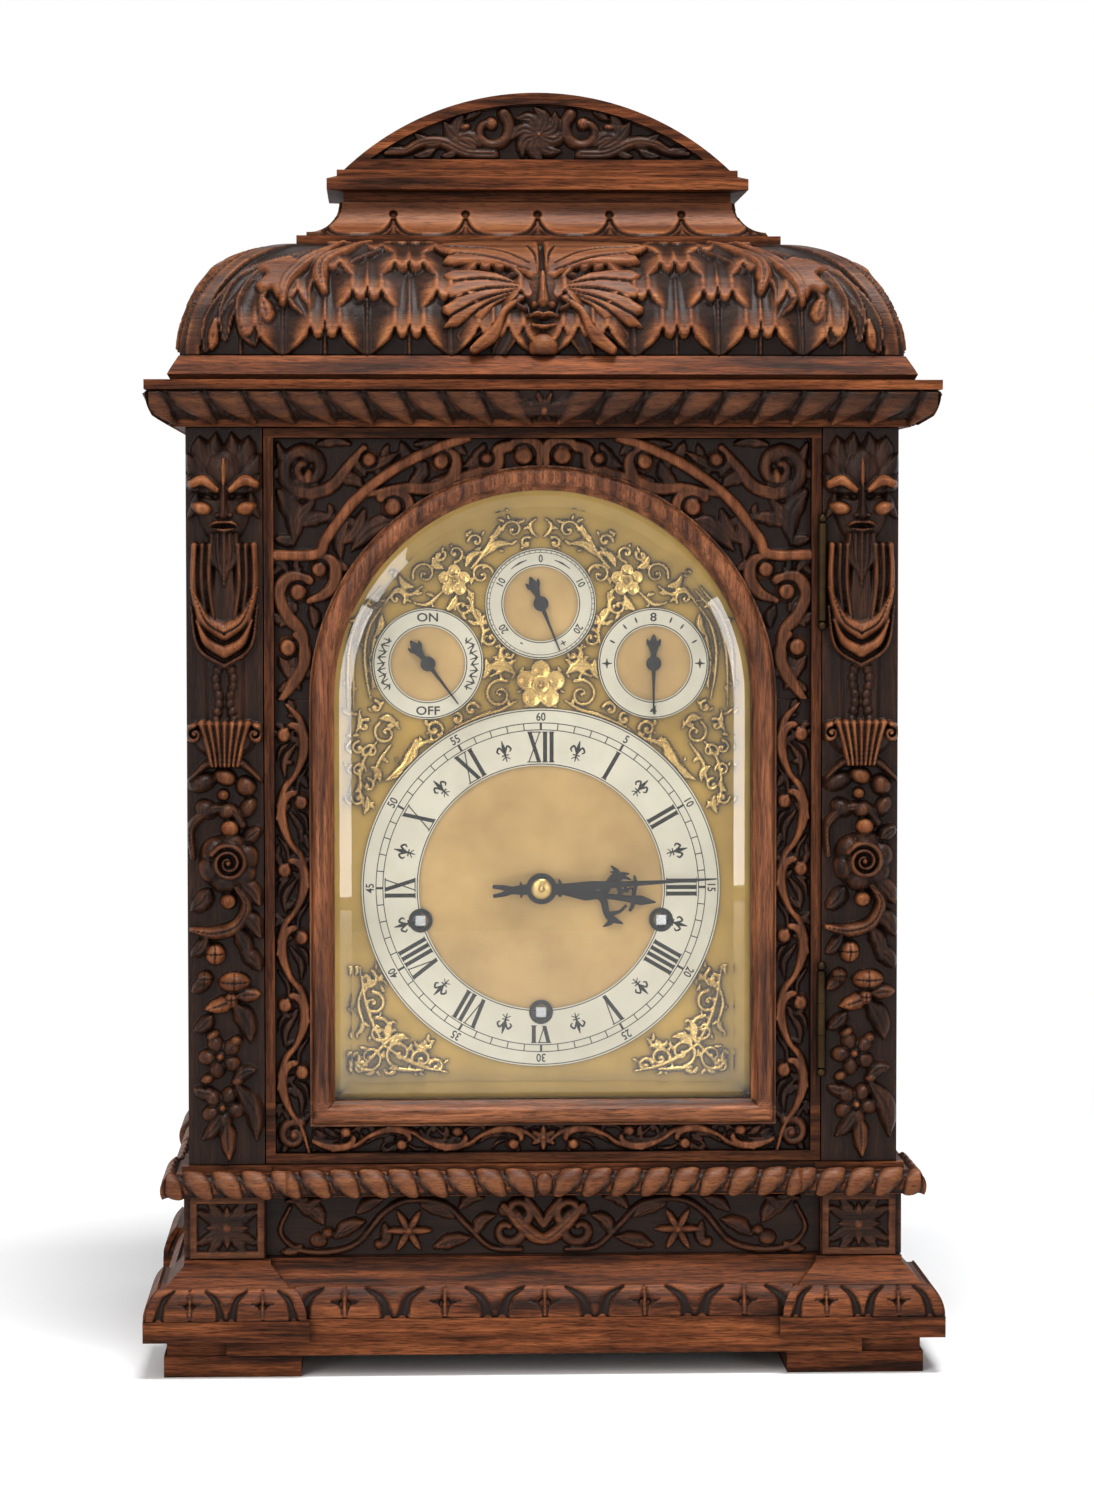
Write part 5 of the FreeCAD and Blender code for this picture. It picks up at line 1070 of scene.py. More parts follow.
def dome_mask():
    """The leaf face in the middle of the dome's front: brows and cheeks of leaves, nose, lips and chin."""
    relief = Relief(-60, 60, 0.6, 84, FINE_STEP, both=True, rough=0.05)
    brow = (
        (-0.5, 40), (-0.5, 78), (-22, 78), (-42, 76), (-53, 72), (-57.5, 67), (-54, 62), (-47.5, 58),
        (-51, 57), (-53, 52), (-48, 49.5), (-34, 50), (-22, 48.5), (-14, 46), (-7.5, 40),
    )
    cheek = (
        (-8, 34), (-14, 40), (-24, 45.5), (-36, 47.5), (-47, 47.5), (-53.5, 43.5), (-52, 40.5), (-48, 38),
        (-53, 35), (-53, 31), (-48, 28.5), (-53.5, 25), (-53, 21), (-49.5, 19), (-54, 13), (-44, 14),
        (-37.5, 18.5), (-32, 15.5), (-24, 25), (-15, 31), (-10, 32),
    )
    relief.patch(cheek, 6.4, 3.0, 0.75)
    relief.patch(brow, 7.4, 3.2, 0.75)
    veins = (
        [(-12, 37), (-30, 40), (-47, 38.5)], [(-13, 35), (-30, 34), (-47, 29)],
        [(-14, 33.5), (-32, 28), (-48.5, 19.5)], [(-18, 31), (-30, 25), (-37.5, 19.5)],
        [(-7, 45), (-26, 54), (-47, 58.5)], [(-7, 50), (-26, 62), (-50, 66)],
        [(-3.0, 50), (-4.0, 58), (-8, 68)], [(-0.02, 48), (-0.02, 60)],
    )
    for vein in veins:
        relief.gouge(vein, [0.5, 1.0, 0.8], 2.0)
    relief.bump(0, 33, 10.5, 18, 7.2, worn=0.3)
    relief.gouge([(-27, 47.5), (-17, 45), (-8, 40)], [0.9, 2.4, 1.8], 4.4)
    relief.bump(-16.0, 42.6, 4.6, 2.0, 7.4, 8, 0.05)
    relief.stroke([(0, 41), (0, 34), (0, 26.5)], [1.8, 2.6, 4.0], 11.0, 0.6)
    relief.bump(-4.6, 24.6, 2.8, 2.2, 9.8, 0, 0.35)
    relief.stroke([(-9, 22.5), (-13.5, 25), (-12.5, 29), (-9.5, 28.5)], [1.4, 1.9, 1.7, 1.0], 9.0, 0.1)
    relief.stroke([(-8.5, 18.6), (-3.2, 20.4), (0, 19.6)], [0.6, 1.4, 1.2], 9.0, 0.5)
    relief.stroke([(-6.5, 14.8), (0, 13.8)], [0.8, 1.5], 8.6, 0.5)
    relief.gouge([(-8, 17.2), (0, 16.6)], [0.7, 1.0], 3.4)
    relief.bump(0, 4.6, 8.6, 8.2, 8.0, worn=0.65)
    chin_leaf = [(-9, 21), (-17, 18), (-19, 9), (-24, 0)]
    relief.stroke(chin_leaf, [1.8, 4.8, 5.4, 3.6], 6.4, (0.0, 0.2), dish_shape)
    relief.stroke([(-31, 18.5), (-41, 9.5)], [2.6, 5.0, 4.4], 5.4, (0.0, 0.25), dish_shape)
    long_leaf = [(-11, 28), (-20, 22), (-25.5, 11.5), (-36, 2.9)]
    relief.stroke(long_leaf, [1.4, 2.0, 2.6, 4.2, 3.0], 8.8, 0.7, cushion_shape)
    relief.height *= np.interp(relief.v, (56, 84), (1.0, 0.5))
    lay = dome_lay("front", HALF_W, HALF_D)
    carved("dome_mask", relief, lay, OAK_CARVED, keep=blurred(relief.height, 1) > 2.4)


def cove_tracery():
    """Pointed scallops with a drilled dot over each cusp, on the hollow above the dome."""
    z_top = Z_COVE + 5.0 + COVE_R
    pitch = 39.0

    def scallop(share):
        """The height of the scallop's edge at a share of its width."""
        return 1.0 + 19.0 * np.abs(2 * share - 1) ** 2.6

    for face, along, out in FACES:
        edge_along, edge_out = along - DOME_R, out - DOME_R
        relief = Relief(-edge_along, edge_along, 0.3, COVE_R * math.pi / 2 - 0.3, FINE_STEP, rough=0.08)
        relief.height += 2.2
        relief.worn += 0.85
        for cusp in range(-3, 4):
            at = cusp * pitch
            under = [(at + pitch * share, scallop(share)) for share in np.linspace(0, 1, 13)]
            relief.gouge(under, [1.5], 1.6)
            area = relief.window((at, 0), (at + pitch, 22))
            below = relief.v[area] < scallop((relief.u[area] - at) / pitch)
            relief.height[area] -= np.where(below, 1.9, 0.0)
            relief.worn[area] *= np.where(below, 0.1, 1.0)
            relief.stroke([(at, 0.5), (at, 15)], [3.0, 0.7], 1.5, 0.4)
            relief.gouge([(at, 23.6), (at, 24.0)], [2.4], 3.4)

        def lay(u, v, h, face=face, edge_along=edge_along, edge_out=edge_out):
            inward = (COVE_R - h) * np.sin(v / COVE_R)
            limit = edge_along - inward
            z = z_top - (COVE_R - h) * np.cos(v / COVE_R)
            return faced(face, np.clip(u, -limit, limit), edge_out - inward, z)

        keep = np.abs(relief.u) < edge_along - COVE_R * np.sin(relief.v / COVE_R) + 1.0
        carved("cove_tracery_" + face, relief, lay, OAK_CARVED, keep=keep)


def tympanum():
    """A whorled flower between two scrolling leaves."""
    inner, rise = PEDIMENT_HALF - PEDIMENT_RIM * 2.4, Z_TOP - Z_PEDIMENT - PEDIMENT_RIM * 2
    low = Z_PEDIMENT + PEDIMENT_RIM
    foot = (0, low)
    radius = (inner**2 + rise**2) / (2 * rise)
    relief = Relief(-inner, inner, low + 0.2, low + rise, 0.55)
    inside = np.hypot(relief.u, relief.v - (low + rise - radius)) < radius - 0.3
    whorl = (0.8, low + 13.5)
    relief.flower(whorl, 15.5, 8, 4.6, 10, half=4.8, worn=(0.1, 0.35), eye=0.10, bend=-0.28)
    relief.both = True
    stem = [(-24, 2.8), (-38, 3.5), (-52, 9.5), (-63, 9.0), (-72, 4.5), (-82, 3.5)]
    relief.stroke(moved(stem, foot), [3.8, 3.8, 3.2, 1.8], 4.4, 0.25, leaf_shape)
    leaves = (
        ((-34, 6), (-51, 21), 5.8, 0.1), ((-31, 8), (-45, 11), 5.0, -0.2), ((-44, 14), (-40, 25), 4.4, 0.1),
        ((-50, 9), (-67, 14.5), 4.4, 0.15), ((-70, 5), (-83, 7), 3.4, 0.1), ((-56, 5), (-67, 2), 3.2, 0.1),
        ((-38, 22), (-30, 26), 3.0, 0.1), ((-44, 4), (-52, 2), 3.0, 0.1),
    )
    relief.leaves(leaves, 4.2, 0.15, foot)
    relief.scroll((-25.5, low + 16.0), 11.5, 1.0, 50, -1, 3.8, 4.8, 0.25)
    relief.bump(-25.0, low + 19.5, 3.8, 3.8, 5.2, worn=0.6)
    relief.bump(-39, low + 17.5, 3.2, 2.2, 5.0, 20, 0.5)
    ground = -(HALF_D - DOME_R - COVE_R) + 5.0
    carved("tympanum_carving", relief, on_front(ground), OAK_DARK, keep=inside)


# Pilasters: a bearded mask over drapery, husks, a scrolled capital and a drop of flowers and fruit


def pilaster_mask(relief, z):
    """Headdress, brows, eyes, nose, cheeks, lips and a short beard, with z at the brows."""
    plumes = (
        ((-9, 4), (-19, 17), 5.4), ((-6, 8), (-13, 26), 6.6), ((-2.5, 8), (-4, 28), 5.4),
        ((-13, -2), (-19.3, 6), 3.8),
    )
    for start, end, wide in plumes:
        relief.leaf(*moved((start, end), (0, z)), wide, 6.0, 0.08, 0.0, dome_shape)
    relief.bump(0, z - 6, 15.0, 25, 7.6, worn=0.05)
    relief.bump(0, z + 8, 11.5, 14, 9.4, worn=0.05)
    relief.leaf((0.02, z - 1), (0.02, z + 15), 2.6, 11.0, 0.0, 0.55, dome_shape)
    relief.stroke([(-16.5, z + 1.2), (-10.5, z + 3.0), (-3.2, z - 2.0)], [2.6, 3.8, 2.2], 12.4, (0.85, 0.5))
    relief.gouge([(-14, z - 4.8), (-4, z - 5.4)], [1.4, 2.2], 3.4)
    relief.bump(-8.0, z - 5.6, 3.0, 1.5, 8.6, -6, 0.0)
    relief.bump(-11.0, z - 11.4, 7.0, 4.2, 11.0, -14, (0.75, 0.3))
    relief.stroke([(0, z), (0, z - 9), (0, z - 14.5)], [1.6, 2.3, 3.6], 12.8, 0.05)
    relief.bump(-3.4, z - 15.2, 2.2, 1.8, 11.2, 0, 0.1)
    relief.stroke([(-0.5, z - 18.6), (-4, z - 18.8), (-7.0, z - 20.4)], [1.2, 1.5, 0.7], 10.6, 0.3)
    relief.stroke([(0, z - 23.0), (-5.0, z - 22.2)], [1.5, 0.8], 10.2, 0.2)
    relief.gouge([(-6.0, z - 20.9), (0, z - 20.8)], [0.5, 0.8], 2.6)
    relief.leaf((-14, z - 4), (-19, z - 17), 3.2, 6.6, 0.1, 0.1)
    for offset in (0.02, 3.0, 6.0):
        beard = [(-offset, z - 25), (-offset * 1.0, z - 37), (-offset * 0.25, z - 52 + offset)]
        relief.stroke(beard, [2.0, 2.4, 0.8], 8.6 - offset * 0.3, 0.15)


def pilaster_carving():
    """Both pilasters alike: mask, drapery, husks, capital and drop, fading at the edges."""
    relief = Relief(-PILASTER / 2, PILASTER / 2, Z_BODY, Z_CORNICE, FINE_STEP, both=True)
    top = Z_CORNICE
    relief.stroke([(0.02, top - 112), (0.02, top - 158)], [11.5, 10.5], 2.6, 0.1, flat_shape)
    pilaster_mask(relief, top - 31)
    relief.stroke([(0.02, top - 76), (0.02, top - 100)], [6.0, 8.0], 5.4, 0.05, flat_shape)
    for offset, worn in ((15.4, 0.45), (11.2, 0.15), (7.4, 0.3)):
        fold = [(-offset, top - 62), (-offset - 0.4, top - 82), (-offset + 2.4, top - 104)]
        relief.stroke(fold, [2.0, 2.3, 1.6], 7.6, worn)
    swags = (
        ([(-17, top - 84), (-10.5, top - 100), (-0.02, top - 107)], 5.8, 9.4, (0.8, 0.3)),
        ([(-14.5, top - 101), (-9, top - 112), (-0.02, top - 117.5)], 4.4, 8.6, (0.75, 0.2)),
        ([(-17.2, top - 94), (-13.5, top - 115), (-0.02, top - 125)], 1.8, 7.0, 0.2),
    )
    for line, wide, high, worn in swags:
        relief.stroke(line, [0.8, wide * 0.75, wide], high, worn)
    relief.gouge([(-14.5, top - 90), (-9, top - 102), (-0.02, top - 108)], [0.3, 0.7, 0.8], 1.6)
    for index in range(7):
        relief.bump(-3.6 - 0.9 * math.sin(index * 1.3), top - 127 - index * 4.4, 3.0, 3.6, 5.8, 26, 0.0)
    relief.bump(0.0, top - 124.5, 4.4, 2.6, 6.2, worn=0.15)
    relief.bump(0, top - 164, 17.0, 10.0, 6.0, worn=0.1, shape=flat_shape)
    for offset in (0.02, 4.0, 8.0, 12.0):
        flute = [(-offset * 0.55, top - 177), (-offset * 0.75, top - 166), (-offset, top - 155.5)]
        relief.stroke(flute, [1.2, 1.9, 2.5], 9.2, 0.55)
    relief.scroll((-15.8, top - 160.5), 4.4, 1.2, 90, 1, 2.0, 9.2, 0.35, 1.6)
    relief.stroke([(-1, top - 175), (-9, top - 176), (-19, top - 185)], [2.2, 2.4, 1.0], 7.0, 0.15)
    relief.both = False
    flower_drop(relief)
    rim = np.clip((PILASTER / 2 - np.abs(relief.u)) / 2.4, 0, 1)
    relief.height *= 0.12 + 0.88 * np.sqrt(rim * (2 - rim))
    relief.worn *= rim
    for turn, name in ((-1, "left"), (1, "right")):
        lay = lambda u, v, h, turn=turn: (turn * PILASTER_X + u, FRONT - h, v)
        pilaster = carved("pilaster_" + name, relief, lay, PILASTER_OAK, depth=PILASTER_DEPTH)
        if turn < 0:
            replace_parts(pilaster, "pilasters")


def flower_drop(relief):
    """Roses, buds, berries and leaves hanging under the capital."""
    z = Z_BODY
    rose = (1.5, z + 160)
    petals = (
        ((-12, 202), 8.0, 5.0, 20, 0.1), ((0, 205), 6.4, 4.6, -20, 0.55), ((11, 200), 6.0, 5.4, -50, 0.35),
        ((12, 189), 6.4, 4.4, 60, 0.25), ((1, 187), 5.4, 4.6, 0, 0.3), ((-10, 188), 6.4, 5.0, -30, 0.05),
    )
    for (a, b), wide, tall, turn, worn in petals:
        relief.bump(a, z + b, wide, tall, 8.0, turn, (worn, worn * 0.4))
    relief.bump(-1, z + 195.5, 3.2, 3.2, 9.4, worn=0.3)
    curl = [(-17, z + 163), (-18, z + 178), (-9, z + 187), (3, z + 188), (9, z + 180)]
    relief.stroke(curl, [1.6, 2.8, 3.0, 2.4], 7.4, 0.15, leaf_shape)
    relief.bump(2.5, z + 178, 5.0, 5.0, 10.6, worn=0.65)
    relief.bump(*rose, 15.5, 15.5, 6.6, worn=0.05)
    for turn in range(20, 380, 60):
        relief.bump(*spoke(rose, 10.5, turn), 7.4, 6.0, 8.4, turn + 90, (0.1, 0.3))
    relief.scroll((1.8, z + 160), 9.8, 2.2, 150, -1, 2.4, 11.6, 0.25, 2.2)
    relief.bump(1.5, z + 140, 4.4, 4.4, 10.4, worn=0.55)
    sweep = [(6, z + 147), (11, z + 138), (6, z + 127), (-6, z + 123), (-18, z + 125)]
    relief.stroke(sweep, [2.0, 3.2, 4.0, 4.0, 1.4], 8.2, 0.3, leaf_shape)
    leaves = (
        ((8, 150), (18.5, 137), 5.4, 0.1, 0.2), ((9, 133), (18.8, 120), 5.4, 0.1, 0.15),
        ((6, 125), (11, 107), 5.0, 0.1, 0.1), ((11, 172), (18.5, 178), 4.4, 0.0, 0.1),
        ((-9, 145), (-18, 135), 5.4, 0.1, 0.05), ((9, 113), (18.5, 103), 5.0, 0.1, 0.1),
        ((-10, 120), (-18.5, 111), 4.4, 0.1, 0.05), ((4, 88), (-11, 83), 4.8, 0.05, 0.6),
        ((6, 90), (18.5, 91), 4.6, 0.0, 0.35), ((5, 85), (13, 65), 6.0, 0.1, 0.15),
        ((-10, 101), (-18, 92), 4.4, 0.1, 0.15), ((-8, 79), (-17, 71), 4.4, 0.1, 0.05),
        ((6, 42), (16, 13), 6.0, 0.12, 0.1), ((5, 46), (16, 51), 4.4, 0.1, 0.1),
        ((-6, 38), (-17, 41), 4.4, 0.1, 0.1), ((0, 24), (1.5, 2.5), 4.8, 0.0, 0.3),
        ((-3, 27), (-13, 14), 4.6, 0.1, 0.1),
    )
    for start, end, wide, bend, worn in leaves:
        relief.leaf(*moved((start, end), (0, z)), wide, 7.0, bend, worn)
    buds = (
        (-5.5, 112, 5.4, 6.0, 0.6), (4.5, 97, 8.6, 5.6, 0.5), (-11, 99, 4.4, 4.2, 0.2),
        (3.0, 88, 3.6, 4.8, 0.5),
    )
    for a, b, wide, tall, worn in buds:
        relief.bump(a, z + b, wide, tall, 10.0, 0, worn)
        relief.gouge([(a - wide * 0.8, z + b), (a + wide * 0.8, z + b)], [0.5, 0.7, 0.5], 1.4)
        relief.gouge([(a, z + b - tall * 0.8), (a, z + b + tall * 0.8)], [0.5, 0.7, 0.5], 1.4)
    for across, up, start in ((-3, 58, 40), (-2, 31, 62)):
        for turn in range(start, start + 360, 72):
            relief.bump(*spoke((across, z + up), 6.6, turn), 5.6, 4.4, 7.8, turn, (0.15, 0.3))
        relief.bump(across, z + up, 2.6, 2.6, 9.0, worn=0.4)
    for a, b in ((-7, 69), (5, 66), (6, 45), (-10, 46)):
        relief.bump(a, z + b, 3.8, 2.8, 7.6, 25, 0.25)


# Dial


def circle(x, z, radius, y, count):
    """Points round a circle that faces the front, clockwise from the top."""
    angle = np.linspace(0, 2 * math.pi, count, endpoint=False)
    return np.stack([x + radius * np.sin(angle), np.full(count, y), z + radius * np.cos(angle)], -1)


class Solid:
    """Closed shapes gathered into one piece, flat ones between a front and a back y."""

    def __init__(self, front=0.0, back=0.0):
        self.points, self.faces = [], []
        self.between(front, back)

    def between(self, front, back):
        self.front, self.back = front, back
        return self

    def add(self, points, faces):
        start = sum(len(part) for part in self.points)
        self.points.append(np.asarray(points, float))
        self.faces += [tuple(start + index for index in face) for face in faces]

    def slab(self, outline, bevel=0.0):
        """A flat shape from its outline of (x, z) points, with a small bevel round its front."""
        flat = np.asarray(outline, float)
        turn = np.sum(flat[:, 0] * np.roll(flat[:, 1], -1) - flat[:, 1] * np.roll(flat[:, 0], -1))
        if turn < 0:
            flat = flat[::-1]
        layers = [(self.back, 0.0), (self.front, 0.0)]
        if bevel:
            layers = [(self.back, 0.0), (self.front + bevel, 0.0), (self.front, bevel)]
        run = np.roll(flat, -1, 0) - np.roll(flat, 1, 0)
        normal = np.stack([-run[:, 1], run[:, 0]], -1)
        normal /= np.maximum(np.hypot(*normal.T), 1e-9)[:, None]
        loops = []
        for y, inset in layers:
            inner = flat + normal * inset
            loops.append(np.stack([inner[:, 0], np.full(len(flat), y), inner[:, 1]], -1))
        points, faces = lofted(loops, False)
        self.add(points, [face[::-1] for face in faces])

    def ribbon(self, points, widths, spacing=0.6, bevel=0.0):
        """A flat band along a smooth line."""
        path, half = smooth_line(points, widths, spacing)
        along = np.gradient(path, axis=0)
        along /= np.maximum(np.hypot(*along.T), 1e-9)[:, None]
        normal = np.stack([-along[:, 1], along[:, 0]], -1) * half[:, None]
        self.slab(np.concatenate([path + normal, (path - normal)[::-1]]), bevel)

    def ring(self, x, z, outer, inner, count=180):
        corners = ((outer, self.back), (outer, self.front), (inner, self.front), (inner, self.back))
        self.add(*lofted([circle(x, z, radius, y, count) for radius, y in corners], True))

    def line_ring(self, x, z, radius, thick, count=180):
        """A thin line round a circle."""
        self.ring(x, z, radius + thick / 2, radius - thick / 2, count)

    def lathe(self, x, z, sections, count=64):
        """A turned shape on the Y axis from (radius, y) pairs, closed at both ends."""
        self.add(*lofted([circle(x, z, radius, y, count) for radius, y in sections], False))

    def text(self, words, x, z, tall, turn, wide):
        """Plain figures about a point, turned clockwise by degrees."""
        curve = bpy.data.curves.new("figure", "FONT")
        curve.body = words
        curve.size = tall * 1.4
        curve.align_x = "CENTER"
        curve.extrude = 0.5
        curve.offset = tall * 0.022
        curve.resolution_u = 3
        holder = bpy.data.objects.new("figure", curve)
        bpy.context.scene.collection.objects.link(holder)
        bpy.context.view_layer.update()
        drawn = holder.evaluated_get(bpy.context.evaluated_depsgraph_get())
        mesh = bpy.data.meshes.new_from_object(drawn)
        flat = np.array([tuple(vertex.co) for vertex in mesh.vertices])
        faces = [tuple(face.vertices) for face in mesh.polygons]
        upright = np.stack([flat[:, 0] * wide, flat[:, 1] - tall / 2], -1)
        placed = np.array(dial_shape(x, z, turn, upright))
        deep = np.where(flat[:, 2] > 0, self.front, self.back)
        self.add(np.stack([placed[:, 0], deep, placed[:, 1]], -1), faces)
        bpy.data.objects.remove(holder)
        bpy.data.meshes.remove(mesh)
        bpy.data.curves.remove(curve)

    def piece(self, name, finish, body, slot):
        return add_mesh(name, np.concatenate(self.points), self.faces, finish, body)


def polar(x, z, radius, turn):
    """A point on a dial, clockwise from the top in degrees."""
    return x + radius * math.sin(math.radians(turn)), z + radius * math.cos(math.radians(turn))


def dial_shape(x, z, turn, outline):
    """Points of (across, out from the centre) turned to their place on a dial."""
    cosine, sine = math.cos(math.radians(turn)), math.sin(math.radians(turn))
    return [(x + a * cosine + b * sine, z + b * cosine - a * sine) for a, b in outline]


NUMERALS = ("XII", "I", "II", "III", "IIII", "V", "VI", "VII", "VIII", "IX", "X", "XI")
THICK, THIN = 2.15, 0.62


def numeral(solid, letters, turn, low, high):
    """One Roman numeral, its foot towards the centre, made of thick and thin strokes with serifs."""
    widths = {"I": 3.5, "V": 7.8, "X": 8.0}
    serif = 0.26
    at = -sum(widths[letter] for letter in letters) / 2
    for letter in letters:
        wide = widths[letter]
        left, right, middle = at + 0.75, at + wide - 0.75, at + wide / 2
        bars = {
            "I": [(middle, middle, THICK)],
            "V": [(left + 0.9, middle, THICK), (right - 0.3, middle, THIN)],
            "X": [(left + 0.7, right - 0.7, THICK), (right - 0.4, left + 0.4, THIN)],
        }[letter]
        for head, foot, thick in bars:
            half = thick / 2
            bar = [(head - half, high), (head + half, high), (foot + half, low), (foot - half, low)]
            solid.slab(dial_shape(0, Z_DIAL, turn, bar))
        for level in (high,) if letter == "V" else (high, low):
            a, b, c, d = left - 0.5, right + 0.5, level - serif, level + serif
            solid.slab(dial_shape(0, Z_DIAL, turn, [(a, c), (b, c), (b, d), (a, d)]))
        at += wide


def half_hour_mark(solid, turn, radius):
    """A small three-petalled lily."""
    size = 1.2
    strokes = [
        ([(0, -4.6), (0, 0), (0, 5.0)], [0.25, 0.45, 1.0, 0.2]),
        *paired([(0, -1.2), (-1.8, 2.2), (-3.2, 0.6), (-2.2, -0.4)], [0.3, 0.55, 0.5, 0.3]),
        ([(-1.6, -1.6), (1.6, -1.6)], [0.35]),
        *paired([(0, -2.2), (-1.8, -3.6)], [0.3, 0.2]),
    ]
    for points, widths in strokes:
        line = [(size * a, size * b + radius) for a, b in points]
        solid.ribbon(dial_shape(0, Z_DIAL, turn, line), widths)


def dial_marks():
    """Lines, minutes, hours, lilies and figures on the large ring."""
    inner_edge, lilies, figures, edge = 66.3, 75.3, 91.7, 95.1
    track_low, track_high = 84.6, 88.3
    numeral_low, short_low, numeral_high = 67.4, 74.4, 83.4
    solid = Solid(MARK_FRONT, MARK_BACK)
    for radius, thick in ((edge, 0.5), (track_high, 0.45), (track_low, 0.45), (inner_edge, 0.5)):
        solid.line_ring(0, Z_DIAL, radius, thick)
    for minute in range(60):
        half = 0.6 if minute % 5 == 0 else 0.26
        tick = [(-half, track_low), (half, track_low), (half, track_high), (-half, track_high)]
        solid.slab(dial_shape(0, Z_DIAL, minute * 6, tick))
    for hour, letters in enumerate(NUMERALS):
        turn = hour * 30
        numeral(solid, letters, turn, short_low if hour == 6 else numeral_low, numeral_high)
        half_hour_mark(solid, turn + 15, lilies)
        solid.text(str(hour * 5 or 60), *polar(0, Z_DIAL, figures, turn), tall=4.4, turn=turn, wide=0.85)
    solid.piece("chapter_marks", INK, "case", "blued_steel")


def small_dial_marks():
    """Lines, ticks, figures and ornaments of the three small dials, and their rings."""
    inner, figures, middle, waves, tick_low, edge = 20.0, 24.2, 24.9, 25.0, 27.3, 28.8
    solid = Solid(MARK_FRONT, MARK_BACK)
    for x, z in SMALL_DIALS.values():
        for radius in (edge, inner + 0.8):
            solid.line_ring(x, z, radius, 0.5, 96)
    x, z = SMALL_DIALS["top"]
    solid.line_ring(x, z, tick_low + 0.05, 0.3, 96)
    for step in range(-25, 26):
        tick = [(-0.14, tick_low), (0.14, tick_low), (0.14, edge), (-0.14, edge)]
        solid.slab(dial_shape(x, z, step * 6, tick))
    scale = (("0", 0), ("10", -62), ("10", 62), ("20", -124), ("20", 124))
    for label, turn in scale:
        solid.text(label, *polar(x, z, figures, turn), tall=4.0, turn=turn, wide=0.85)
    for label, turn in (("-", -154), ("+", 150)):
        solid.text(label, *polar(x, z, figures, turn), tall=4.0, turn=turn, wide=1.0)
    for side in (-1, 1):
        solid.ribbon([polar(x, z, 24.4, side * turn) for turn in (18, 28, 40)], [0.15, 0.5, 0.1])
    words = {"left": (("ON", 0), ("OFF", 180)), "right": (("8", 0), ("4", 180))}
    for side, labels in words.items():
        for label, turn in labels:
            solid.text(label, *polar(*SMALL_DIALS[side], middle, turn), tall=4.6, turn=0, wide=1.15)
    x, z = SMALL_DIALS["left"]
    for side in (-1, 1):
        for step in range(-4, 5):
            turn = side * 90 + step * 7.5
            peak = waves + (1.3 if step % 2 else -1.3)
            wave = [polar(x, z, waves, turn - 4), polar(x, z, peak, turn), polar(x, z, waves, turn + 4)]
            solid.ribbon(wave, [0.25, 0.6, 0.25])
            solid.ribbon([polar(x, z, 27.2, turn), polar(x, z, 22.6, turn + 2)], [0.2, 0.35, 0.2])
    x, z = SMALL_DIALS["right"]
    for side in (-1, 1):
        star_x, star_z = polar(x, z, middle, side * 90)
        for a, b in ((2.6, 0.0), (0.0, 2.6)):
            ray = [(star_x - a, star_z - b), (star_x, star_z), (star_x + a, star_z + b)]
            solid.ribbon(ray, [0.1, 0.8, 0.1])
        for turn in (-62, -38, -22, 22, 38, 62):
            solid.ribbon([polar(x, z, 26.4, turn), polar(x, z, 23.4, turn)], [0.3, 0.5, 0.3])
    solid.piece("small_dial_marks", INK, "case", "blued_steel")
    rings = Solid(DIAL_FRONT - 1.5, DIAL_FRONT + 0.1)
    for x, z in SMALL_DIALS.values():
        rings.ring(x, z, SMALL_RING, inner, 120)
    plates = rings.piece("small_dial_rings", SILVERED, "case", "silvered_brass")
    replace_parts(plates, "subsidiary_rings")


